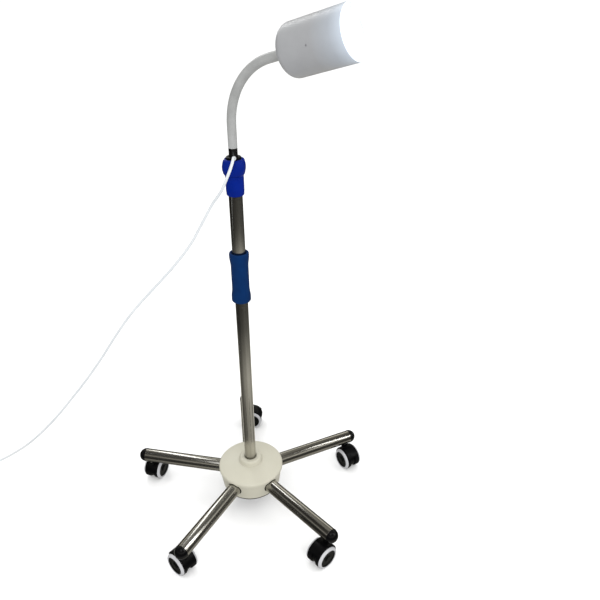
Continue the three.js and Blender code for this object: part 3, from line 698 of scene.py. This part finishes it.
def plug_piece():
    """A flat two-pin plug with a ribbed boot. +X runs from the cord to the pins."""
    boot_length, body_length = 0.025, 0.036
    body = new_object("mains_plug", lambda bm: plug_body(bm, boot_length, body_length), WHITE)
    bevel(body, 0.0028, 4)
    outline = [(CORD_RADIUS, 0.0), (0.0042, 0.0)]
    for index in range(5):
        x, rib, groove = 0.004 + 0.0038 * index, 0.0044 + 0.0003 * index, 0.0037
        outline += [(rib, x), (rib, x + 0.0022), (groove, x + 0.0026), (groove, x + 0.0035)]
    outline += [(0.0062, boot_length + 0.001), (CORD_RADIUS, boot_length + 0.001)]
    lay = Matrix.Rotation(QUARTER, 4, "Y")
    boot = lathe("plug_boot", outline, WHITE, segments=40)
    boot.matrix_world = lay
    extras = [boot]
    for y in (-0.0095, 0.0095):
        foot = Matrix.Translation((boot_length + body_length - 0.001, y, 0)) @ lay
        sleeve = pipe("pin_sleeve", 0, 0.0022, 0, 0.0105, WHITE, edges=(0, 0.0002), segments=24)
        pin = pipe("pin", 0, 0.0024, 0.01, 0.02, BRASS, edges=(0, 0.0016), segments=24)
        for extra in (sleeve, pin):
            extra.matrix_world = foot
            extras.append(extra)
    join(body, *extras)
    end = Vector(TAIL_ROUTE[-1])
    way = end - Vector(TAIL_ROUTE[-2])
    way.z = 0
    way.normalize()
    middle = Matrix.Translation(end + 0.0006 * way) @ Matrix.Rotation(atan2(way.y, way.x), 4, "Z")
    return put(body, "base", "plug", at=middle)


def plug_body(bm, start, length):
    """The plug's body, narrower where fingers hold it."""
    half_height = 0.0068
    outline = []
    for index in range(13):
        share = index / 12
        pinch = 0.0022 * sin(pi * share) ** 2
        outline.append((start + length * share, 0.0105 + 0.0043 * share - pinch))
    ring = outline + [(x, -y) for x, y in reversed(outline)]
    loft(bm, [[(x, y, z) for x, y in ring] for z in (-half_height, half_height)])


cord = line_curve("mains_cord", cord_line(), CORD_RADIUS, WHITE)
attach(cord, "base")
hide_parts("cord_tube", "cord_coil", "cord_tail")
boot = strain_relief()
plug = plug_piece()

# ---- base: hub, legs, caps and caster stems ----


def place_of(joint):
    return Vector(joints[joint]["pos_m"])


def leg_matrix(index):
    """Z runs out along a leg's axis, with the origin at the mast."""
    stem = place_of(f"caster_{index}_swivel")
    azimuth = atan2(stem.y, stem.x)
    turn = Matrix.Rotation(azimuth, 4, "Z") @ Matrix.Rotation(QUARTER, 4, "Y")
    return Matrix.Translation((0, 0, LEG_AXIS_Z)) @ turn


def hub_shell():
    """The moulded cover: a drawn-in skirt, a rolled rim, a soft dome and a ring round the mast."""
    rim = HUB_RIM_Z
    outline = [
        (HUB_FOOT_RADIUS - 0.0006, HUB_SKIRT_Z),
        (HUB_FOOT_RADIUS, HUB_SKIRT_Z + 0.0006, 0.0004),
        (HUB_RADIUS - 0.0024, rim - 0.012, 0.002), (HUB_RADIUS, rim - 0.009, 0.002),
        (HUB_RADIUS, rim - 0.0002, 0.005), (0.064, rim + 0.007, 0.08),
        (0.0352, BOSS_FOOT_Z - 0.0006, 0.0008), (0.034, BOSS_FOOT_Z - 0.0012, 0.0005),
        (0.0326, BOSS_FOOT_Z - 0.0004, 0.0006), (0.0316, HUB_TOP_Z - 0.005, 0.003),
        (0.0282, HUB_TOP_Z, 0.005), (MAST_RADIUS + 0.003, HUB_TOP_Z - 0.0003, 0.001),
        (MAST_RADIUS + GAP, HUB_TOP_Z - 0.003), (MAST_RADIUS + GAP, HUB_TOP_Z - 0.012),
        (0.03, BOSS_FOOT_Z - 0.0035), (HUB_RADIUS - 0.0075, rim - HUB_WALL),
        (HUB_RADIUS - HUB_WALL - 0.0026, rim - 0.011),
        (HUB_FOOT_RADIUS - HUB_WALL + 0.0022, HUB_SKIRT_Z),
    ]
    shell = lathe("hub_shell", outline, CREAM, segments=180)
    cutters = []
    for index in LEGS:
        cutter = pipe("cutter", 0, LEG_HOLE_RADIUS, 0.06, 0.12, segments=72)
        cutter.matrix_world = leg_matrix(index)
        cutters.append(cutter)
    cut(shell, *cutters)
    put(shell, "base", "hub_cover")


def base_plate():
    """The steel plate under the hub, with a turned-down rim and a pressed ring round the bolt."""
    low, high, radius = extent("hub_base_plate")
    bore, raised = 0.0112, low + 0.0012
    outline = [
        (bore, high), (radius, high, 0.001), (radius, low, 0.001),
        (radius - 0.006, low, 0.0008), (radius - 0.0068, raised, 0.0008),
        (0.024, raised, 0.0008), (0.023, low, 0.0008), (bore, low),
    ]
    plate = lathe("base_plate", outline, DARK_STEEL, segments=120)
    put(plate, "base", "hub_base_plate")


def hexagon_nut(name, across, low, high):
    """A hexagonal nut or bolt head about Z, its corners turned down as on a real one."""
    corner = across / sqrt(3)
    prism = pipe(name, 0, corner, low, high, ZINC, segments=6)
    chamfer = (corner - across / 2) * 0.6
    past, shy = corner + 0.0002, corner - chamfer
    dome = [(0, low), (shy, low), (past, low + chamfer), (past, high - chamfer), (shy, high), (0, high)]
    cut(prism, lathe("turned", dome, ZINC, segments=64), operation="INTERSECT")
    return bevel(prism, 0.00025, 2)


def hub_bolt():
    """A hexagonal bolt head with its washer, under the hub."""
    low, high, radius = extent("hub_bolt")
    shank_radius, seat = 0.005, low + 0.0052
    head = hexagon_nut("hub_bolt_head", 2 * radius * cos(pi / 6), low, seat)
    soft = (0.0004, 0.0004)
    washer = pipe("washer", shank_radius, radius, seat, low + 0.0066, ZINC, edges=soft, segments=64)
    shank = pipe("shank", 0, shank_radius, low + 0.005, high, ZINC, segments=48)
    join(head, washer, shank)
    put(head, "base", "hub_bolt")


def leg(index):
    """A leg tube and its domed end plug."""
    inner = LEG_RADIUS - LEG_WALL
    name, ends = f"leg_{index}_tube", (0.0005, 0.0007)
    tube = pipe(name, inner, LEG_RADIUS, LEG_START, LEG_END, STEEL, edges=ends, steps=3)
    put(tube, "base", f"leg_tube_{index}", at=leg_matrix(index))
    face = LEG_END + GAP
    dome = [
        (0, LEG_END - 0.006), (inner - GAP, LEG_END - 0.006, 0.001),
        (inner - GAP, face), (CAP_RADIUS - 0.0002, face),
    ]
    dome += arc((0, face + 0.0008), CAP_RADIUS - 0.0008, 0, 90, 20)
    dome[-1] = (0, face + CAP_RADIUS)
    cap = lathe(f"leg_{index}_cap", dome, GLOSS_BLACK, segments=72)
    put(cap, "base", f"leg_cap_{index}", slot="black_plastic", at=leg_matrix(index))


def caster_stem(index):
    """The caster's stud, with a hexagonal collar and a thin washer against the leg."""
    low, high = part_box(f"caster_stem_{index}")
    top = LEG_AXIS_Z - LEG_RADIUS - GAP
    seat = top - 0.0008
    collar = hexagon_nut(f"caster_{index}_stem", 0.015, top - 0.003, seat)
    soft = (0.0002, 0.0002)
    washer = pipe("washer", 0.003, 0.009, seat, top, ZINC, edges=soft, segments=64, steps=2)
    stud = pipe("stud", 0, 0.004, low.z, high.z, ZINC, edges=(0.0008, 0.0008), segments=40)
    join(collar, washer, stud)
    stem = place_of(f"caster_{index}_swivel")
    place = Matrix.Translation((stem.x, stem.y, 0))
    put(collar, "base", f"caster_stem_{index}", at=place)


hub_shell()
base_plate()
hub_bolt()
for number in LEGS:
    leg(number)
    caster_stem(number)

# ---- casters ----


def caster_matrix(index):
    """Origin at the axle's middle, X along the trail and Y along the axle to the left wheel."""
    joint = joints[f"wheel_{index}_left_roll"]
    axle = Vector(joint["axis"]).normalized()
    up = Vector((0, 0, 1))
    turn = Matrix((axle.cross(up), axle, up)).transposed().to_4x4()
    return Matrix.Translation(joint["pos_m"]) @ turn


def hood(bm):
    """The mudguard: a lipped section carried over the wheels."""
    half, lip = HOOD_HALF_WIDTH, HOOD_HALF_WIDTH - HOOD_WALL
    foot, ceiling = HOOD_RADIUS - 0.0036, HOOD_RADIUS - HOOD_WALL
    outer = [(-lip, foot), (-half, foot, 0.0004), (-half, HOOD_RADIUS, 0.0026)]
    outer += [(half, HOOD_RADIUS, 0.0026), (half, foot, 0.0004), (lip, foot)]
    inner = [(lip, foot), (lip, ceiling, 0.0006), (-lip, ceiling, 0.0006), (-lip, foot)]
    section = rounded(outer, 4) + rounded(inner, 2)[1:-1]
    outlines = []
    steps = 56
    for step in range(steps + 1):
        angle = radians(HOOD_START + (HOOD_END - HOOD_START) * step / steps)
        outlines.append([(r * cos(angle), y, r * sin(angle)) for y, r in section])
    loft(bm, outlines)


def caster_frame(index):
    """Hood, web between the wheels, stem boss and axle in one piece."""
    name = f"caster_{index}_frame"
    body = new_object(name, hood, BLACK)
    bevel(body, 0.0004, 2, 50)
    trail = (place_of(f"wheel_{index}_left_roll").xy - place_of(f"caster_{index}_swivel").xy).length
    web_radius = HOOD_RADIUS - 0.008
    web_outline = arc((0, 0), web_radius, -150, 20, 22)
    web_outline += [(0.011, 0.033), (-0.025, 0.033), (-0.028, 0.014), (-0.0265, -0.004)]
    web = new_object("web", lambda bm: extrude(bm, web_outline, -WEB_HALF_WIDTH, WEB_HALF_WIDTH), BLACK)
    bevel(web, 0.001, 3)
    boss_outline = [(0.0043, 0.03), (0.0095, 0.03), (0.009, 0.039, 0.0012), (0.0043, 0.039)]
    boss = lathe("boss", boss_outline, BLACK, segments=56)
    boss.matrix_world = Matrix.Translation((-trail, 0, 0))
    axle = pipe("axle", 0, AXLE_RADIUS, -0.021, 0.021, ZINC, edges=(0.0006, 0.0006), segments=40)
    axle.matrix_world = Matrix.Rotation(-QUARTER, 4, "X")
    join(body, web, boss, axle)
    place = caster_matrix(index)
    put(body, f"caster_{index}", f"caster_body_{index}", at=place)


def wheel_profiles():
    """A wheel's tread, pale band and dished disc, each with the steps of its rounded corners."""
    band_start = WHEEL_OUTER - SHOULDER_WIDTH
    recess, face = WHEEL_INNER + 0.001, WHEEL_OUTER - 0.0006
    seam, edge = (WHEEL_RADIUS - 0.0007, band_start + 0.0001), (DISC_RADIUS, WHEEL_OUTER - 0.0012)
    tread = [
        (AXLE_RADIUS + GAP, WHEEL_INNER), (0.012, WHEEL_INNER), (0.013, recess, 0.0005),
        (0.025, recess, 0.0005), (0.0262, WHEEL_INNER, 0.0005),
        (WHEEL_RADIUS - 0.0006, WHEEL_INNER, 0.003),
        (WHEEL_RADIUS, WHEEL_INNER + 0.007, 0.02),
        (WHEEL_RADIUS, band_start - 0.0004, 0.0003), seam,
    ]
    band = [seam, *arc((DISC_RADIUS + 0.0004, band_start - 0.0008), 0.007, 6, 84, 10)]
    band += [(DISC_RADIUS + 0.0004, WHEEL_OUTER - 0.0004), edge]
    disc = [
        edge, (DISC_RADIUS - 0.0008, face, 0.0004),
        (DISC_RADIUS - 0.0026, face, 0.0006),
        (DISC_RADIUS - 0.0042, WHEEL_OUTER - 0.0022, 0.0008),
        (0.0095, WHEEL_OUTER - 0.0026, 0.0008), (0.0085, face, 0.0006),
        (0.0068, WHEEL_OUTER + 0.0003, 0.0006), (0, WHEEL_OUTER + 0.0005),
    ]
    return (tread, 5), (band, 0), (disc, 4)


def wheel(index, side):
    def build(bm):
        for material, (outline, steps) in enumerate(wheel_profiles()):
            spin(bm, outline, 88, material, steps)

    made = new_object(f"caster_{index}_wheel_{side}", build, TREAD, BAND_GREY, DISC_BLACK)
    facing = Matrix.Rotation(-QUARTER if side == "left" else QUARTER, 4, "X")
    place = caster_matrix(index) @ facing
    put(made, f"wheel_{index}_{side}", f"caster_wheel_{index}_{side}", slot="wheel_plastic", at=place)


for number in LEGS:
    caster_frame(number)
    wheel(number, "left")
    wheel(number, "right")

# ---- mast ----


def mast_tube(name, node):
    low, high = extent(node)[:2]
    soft = (0.0006, 0.0006)
    tube = pipe(name, MAST_RADIUS - MAST_WALL, MAST_RADIUS, low, high, STEEL, edges=soft, steps=3)
    put(tube, "base", node)


def grip():
    """The rubber sleeve: flared ends with rolled lips and a long shallow waist."""
    low, high, end_radius = extent("grip_sleeve")
    bore = MAST_RADIUS + GAP
    outline = [(bore, low + 0.003), (bore + 0.0022, low + 0.0006)]
    outline += arc((end_radius - 0.005, low + 0.0048), 0.0048, -90, -8, 8)
    steps = 40
    for step in range(1, steps):
        z = low + 0.006 + (high - low - 0.012) * step / steps
        flare = max(1 - (z - low - GRIP_FOOT) / GRIP_FLARE, 1 - (high - GRIP_HEAD - z) / GRIP_FLARE)
        flare = min(1.0, max(0.0, flare))
        eased = flare * flare * (3 - 2 * flare)
        outline.append((GRIP_WAIST_RADIUS + (end_radius - 0.0002 - GRIP_WAIST_RADIUS) * eased, z))
    outline += arc((end_radius - 0.0042, high - 0.004), 0.004, 8, 90, 8)
    outline += [(bore + 0.0024, high - 0.0008), (bore, high - 0.004)]
    sleeve = lathe("mast_grip", outline, GRIP)
    put(sleeve, "base", "grip_sleeve")


mast_tube("mast_lower_tube", "mast_lower")
mast_tube("mast_upper_tube", "mast_upper")
grip()

# ---- clamp, lock knob and outlet collar ----


def clamp():
    """The blue clamp barrel, with a rolled foot and a shallow band under the knob."""
    low, high, radius = extent("clamp_body")
    shoulder = extent("lock_knob")[0] - GAP
    nose, throat = 0.0174, 0.0128
    outline = [
        (MAST_RADIUS + GAP, low + 0.0012), (MAST_RADIUS + 0.0014, low, 0.0005),
        (radius - 0.001, low, 0.0034), (radius - 0.0001, low + 0.012, 0.02),
        (radius, shoulder - 0.0068, 0.0006),
        (radius - 0.0006, shoulder - 0.0062, 0.0003),
        (radius - 0.0006, shoulder - 0.005, 0.0003),
        (radius, shoulder - 0.0044, 0.0006), (radius, shoulder, 0.001),
        (nose, shoulder, 0.0004), (nose, high, 0.0006), (throat, high),
        (throat, shoulder - 0.002), (MAST_RADIUS + GAP, shoulder - 0.002),
    ]
    body = lathe("clamp_barrel", outline, BLUE)
    put(body, "base", "clamp_body")


def knob():
    """The lobed twist knob. A deep valley between two lobes lies under the cord's outlet."""
    low, high = extent("lock_knob")[:2]
    reach, core, bore = 0.028, 0.0196, 0.0177
    valley = radians(-60)
    lobes, depth = 4, 0.0048
    notch_height, notch_width, notch_depth = 0.02, 0.36, 0.0062
    outline = [
        (bore, low), (0.0218, low, 0.0012), (0.025, low + 0.0045, 0.006),
        (reach - 0.0003, low + 0.014, 0.014), (reach, low + 0.0225, 0.012),
        (0.025, high - 0.003, 0.006), (0.02, high, 0.002), (bore, high - 0.0008),
    ]

    def build(bm):
        spin(bm, outline, 176, steps=7, closed=True)
        for vertex in bm.verts:
            radius = vertex.co.xy.length
            angle = atan2(vertex.co.y, vertex.co.x)
            height = (vertex.co.z - low) / (high - low)
            out = max(0.0, radius - core) / (reach - core)
            wave = (0.5 + 0.5 * cos(lobes * (angle - valley))) ** 2
            aside = abs(remainder(angle - valley, 2 * pi / lobes))
            width = notch_width * max(0.0, 1 - (high - vertex.co.z) / notch_height)
            notch = max(0.0, 1 - aside / width) if width > 0 else 0.0
            pull = depth * out * wave * min(1.0, 0.25 + height) + notch_depth * out * notch
            vertex.co.xy *= (radius - pull) / radius

    made = new_object("twist_knob", build, BLUE)
    put(made, "knob", "lock_knob")


def outlet():
    """The fixed black collar above the knob, which holds the strain relief."""
    low, high, radius = extent("outlet_collar")
    bore = 0.0097
    outline = [
        (bore, low), (radius, low, 0.0003), (radius, high - 0.0012, 0.001),
        (radius - 0.0024, high, 0.001), (0.0112, high, 0.0006), (bore, high - 0.0012),
    ]
    collar = lathe("outlet_ring", outline, BLACK, segments=72, steps=4)
    way = (GLAND_TIP - GLAND_ROOT).normalized()
    socket = lathe("socket", [(0, 0), (0.0049, 0), (0.0044, 0.02), (0, 0.02)], segments=32)
    socket.matrix_world = along(GLAND_ROOT - 0.0004 * way, GLAND_TIP)
    cut(collar, socket)
    put(collar, "base", "outlet_collar")


def rod_piece():
    """The telescopic rod, with a reduced spigot that the neck screws onto."""
    low, high, radius = extent("rod")
    shoulder = NECK_FOOT_Z - GAP
    bore, spigot = 0.005, 0.007
    outline = [
        (bore, low), (radius, low, 0.0008), (radius, shoulder, 0.0006),
        (spigot, shoulder), (spigot, high, 0.0006), (bore, high),
    ]
    tube = lathe("sliding_rod", outline, ROD_STEEL, segments=80, steps=4)
    put(tube, "rod", "rod")


clamp()
knob()
outlet()
rod_piece()

# ---- gooseneck sleeve, in one length round each of the neck's joints ----


def neck_point(s):
    """The point on the neck's centre line at a distance along it, and the way it runs there."""
    angle = min(max(0, s - NECK_STRAIGHT) / NECK_BEND_RADIUS, NECK_BEND)
    rise = min(s, NECK_STRAIGHT)
    run = max(0, s - NECK_STRAIGHT - NECK_BEND_RADIUS * NECK_BEND)
    x = NECK_BEND_RADIUS * (1 - cos(angle)) + run * sin(angle)
    z = NECK_FOOT_Z + rise + NECK_BEND_RADIUS * sin(angle) + run * cos(angle)
    return Vector((x, 0, z)), Vector((sin(angle), 0, cos(angle)))


def sleeve(index, stops, sides=40):
    """A length of sleeve through (distance, radius) stops. Its 'along' values place the ripples."""
    turns = [2 * pi * side / sides for side in range(sides)]
    outlines = []
    for s, radius in stops:
        centre, way = neck_point(s)
        across = way.cross(Vector((0, 1, 0)))
        spokes = [across * cos(a) + Vector((0, sin(a), 0)) for a in turns]
        outlines.append([centre + radius * spoke for spoke in spokes])
    made = new_object(f"neck_sleeve_{index}", lambda bm: loft(bm, outlines, capped=False), NECK)
    attribute = made.data.attributes.new("along", "FLOAT", "POINT")
    attribute.data.foreach_set("value", [s for s, radius in stops for side in turns])
    return made


def even_stops(start, end, step=0.0025):
    count = max(1, round((end - start) / step))
    return [(start + (end - start) * index / count, NECK_RADIUS) for index in range(count + 1)]


def neck():
    """Four lengths of sleeve that meet half way between the neck's joints."""
    nodes = [["neck_root"], ["neck_link_1"], ["neck_link_2"], ["neck_link_3", "neck_tip"]]
    halves = [(a + b) / 2 for a, b in zip(NECK_PIVOTS, NECK_PIVOTS[1:])]
    edges = [0.0022, *halves, NECK_LENGTH + 0.0016]
    for index, pivot in enumerate(NECK_PIVOTS):
        stops = even_stops(edges[index], edges[index + 1])
        if index == 0:
            lip = [(0.0004, 0.0076), (0.0001, 0.0088), (0.0, 0.0095), (0.0003, 0.01)]
            stops = lip + stops
        made = sleeve(index + 1, stops)
        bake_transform(made)
        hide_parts(*nodes[index])


neck()

# ---- lamp head ----

HEAD = Matrix.Translation(neck_point(NECK_LENGTH)[0]) @ Matrix.Rotation(NECK_BEND, 4, "Y")
# In the head's own space, Z runs inwards from the shade's -Y side.
SCREW_START = (0, -SHADE_RADIUS - 0.0006, SCREW_FROM_BACK)
SCREW = Matrix.Translation(SCREW_START) @ Matrix.Rotation(-QUARTER, 4, "X")


def shade():
    """The cup-shaped shade: a thin wall, a round-cornered back and a rolled front edge."""
    radius, wall, corner, length = SHADE_RADIUS, SHADE_WALL, SHADE_CORNER, SHADE_LENGTH
    bore = 0.0078
    outline = [(bore, 0.0004), (0.015, 0.0004), (0.0168, 0.0, 0.001), (0.026, 0.0)]
    outline += arc((radius - corner, corner), corner, -90, 0, 18)
    outline += [(radius - 0.0001, length * 0.5), (radius, length - 0.004)]
    outline += arc((radius - 0.001, length - 0.0011), 0.001, 0, 180, 8)
    outline.append((radius - wall, length - 0.004))
    outline += arc((radius - corner, corner), corner - wall, 0, -90, 14)
    outline.append((bore, wall))
    made = lathe("shade_shell", outline, SHADE, segments=144)
    screw_hole = pipe("screw_hole", 0, 0.00216, 0, 0.01, segments=32)
    screw_hole.matrix_world = SCREW
    cut(made, screw_hole)
    put(made, "head", "lamp_shade", at=HEAD)


def shade_screw():
    """A small cross-slotted screw in the shade's side."""
    outline = [(0, 0.0002)]
    outline += [(0.0021 * sin(a), 0.0002 + 0.001 * (1 - cos(a))) for a in (0.4, 0.8, 1.2, QUARTER)]
    outline += [(0.0021, 0.0018), (0.0016, 0.0022), (0.0016, 0.0092), (0, 0.0096)]
    screw = lathe("side_screw", outline, SCREW_GREY, segments=40)
    slots = []
    for turn in (0, QUARTER):
        blade = [(-0.0014, -0.001), (0.0014, -0.001), (0.0011, 0.001), (-0.0011, 0.001)]
        cutter = new_object("blade", lambda bm: extrude(bm, blade, -0.00022, 0.00022), SCREW_GREY)
        cutter.matrix_world = Matrix.Rotation(turn + 0.5, 4, "Z")
        slots.append(cutter)
    cut(screw, *slots)
    put(screw, "head", "shade_screw", slot="zinc_steel", at=HEAD @ SCREW)


def lens():
    """The diffusing front lens, slightly crowned, with a stepped edge."""
    radius = SHADE_RADIUS - SHADE_WALL - 0.0006
    low, high = LENS_FROM_BACK, LENS_FROM_BACK + 0.003
    rim = high - 0.001
    outline = [(0, low), (radius, low, 0.0004), (radius, rim, 0.0004), (radius - 0.0022, rim)]
    for step in range(1, 13):
        share = step / 12
        outline.append(((radius - 0.0026) * (1 - share), high - 0.0008 + 0.0008 * sin(QUARTER * share)))
    made = lathe("diffuser_lens", outline, LENS, steps=3)
    put(made, "head", "front_lens", at=HEAD)


shade()
shade_screw()
lens()

# ---- CAD nodes that stay: their own shape is right, and they lie inside ----

KEPT = {
    "hub_core": DARK_STEEL,
    "mast_coupler": DARK_STEEL,
    "collet": NYLON,
    "slide_bush": NYLON,
    "neck_nut": ZINC,
    "led_heat_sink": ALUMINIUM,
    "reflector": MIRROR,
}
for node, material in KEPT.items():
    mesh = frame["nodes"][node].data
    mesh.materials.clear()
    mesh.materials.append(material)

# ---- floor, light and the room that polished steel mirrors ----


def studio_floor():
    maker = Maker("studio_floor")
    tint = maker.mottled(maker.noise(0.7, 4), (247, 247, 246), (250, 250, 250))
    polish = maker.span(maker.noise(3), 0.6, 0.75)
    maker.done(tint, polish, specular_ior_level=0)
    reach = 60
    corners = ((-reach, -reach), (reach, -reach), (reach, reach), (-reach, reach))

    def build(bm):
        bm.faces.new([bm.verts.new((x, y, 0)) for x, y in corners])

    made = new_object("studio_floor", build, maker.material)
    made.visible_glossy = False
    made.visible_diffuse = False


def softbox(name, azimuth, elevation, distance, width, height, power, colour=(1, 1, 1), mirrored=True):
    """An area light that faces the middle of the mast, and may be kept out of mirrored light."""
    data = bpy.data.lights.new(name, "AREA")
    data.shape = "RECTANGLE"
    data.size = width
    data.size_y = height
    data.energy = power
    data.color = colour
    lamp = bpy.data.objects.new(name, data)
    a, e = radians(azimuth), radians(elevation)
    target = Vector((0, 0, 0.6))
    way = Vector((cos(a) * cos(e), sin(a) * cos(e), sin(e)))
    lamp.location = target + distance * way
    lamp.rotation_euler = (-way).to_track_quat("-Z", "Y").to_euler()
    lamp.visible_glossy = mirrored
    bpy.context.scene.collection.objects.link(lamp)


# Brightness of the mirrored room: from straight down to straight up, then all the way round.
ROOM_LEVELS = (
    (0.0, 0.36), (0.17, 0.5), (0.21, 0.68), (0.25, 0.32), (0.29, 0.08), (0.46, 0.05),
    (0.6, 0.06), (0.68, 0.4), (0.73, 1.1), (0.79, 0.22), (0.9, 0.14), (1.0, 0.26),
)
ROOM_SIDES = (
    (0.0, 0.8), (0.06, 0.3), (0.13, 0.28), (0.2, 0.42), (0.3, 0.75), (0.46, 1.0),
    (0.58, 0.85), (0.67, 0.7), (0.81, 1.6), (0.92, 1.6), (1.0, 0.8),
)


def studio_world():
    """White light, dimmer from below, while glossy surfaces mirror a dark room with windows."""
    world = bpy.data.worlds.new("studio")
    bpy.context.scene.world = world
    world.use_nodes = True
    nodes = Nodes(world.node_tree)

    def room_ramp(value, stops):
        return nodes.ramp(value, *((at, (grey, 0.985 * grey, 0.93 * grey, 1)) for at, grey in stops))

    place = nodes.add("ShaderNodeTexCoord").outputs["Generated"]
    up = nodes.add("ShaderNodeSeparateXYZ", {"Vector": place}).outputs["Z"]
    height = nodes.add("ShaderNodeMapRange", {"From Min": -1, "Value": up}).outputs["Result"]
    compass = nodes.add("ShaderNodeTexGradient", {"Vector": place}, gradient_type="RADIAL")
    room = nodes.product(room_ramp(height, ROOM_LEVELS), room_ramp(compass.outputs["Fac"], ROOM_SIDES))
    around = room_ramp(height, ((0.46, 0.7), (0.54, 1.0)))
    sockets = {"Saturation": 0, "Value": 1.15, "Color": around}
    even = nodes.add("ShaderNodeHueSaturation", sockets).outputs["Color"]
    mirrored = nodes.add("ShaderNodeLightPath").outputs["Is Glossy Ray"]
    chosen = nodes.add("ShaderNodeMix", {"Factor": mirrored, "A": even, "B": room}, data_type="RGBA")
    nodes.feed(nodes.tree.nodes["Background"].inputs["Color"], chosen.outputs["Result"])


studio_floor()
studio_world()
softbox("key", -60, 62, 3.0, 1.6, 1.6, 9)
softbox("fill", -48, 14, 3.0, 2.4, 1.4, 42, mirrored=False)
softbox("rim", 150, 40, 3.0, 0.5, 2.2, 16, (0.96, 0.98, 1.0))
softbox("strip", 20, 35, 2.6, 0.3, 1.8, 10)

bpy.context.scene.view_settings.view_transform = "Standard"
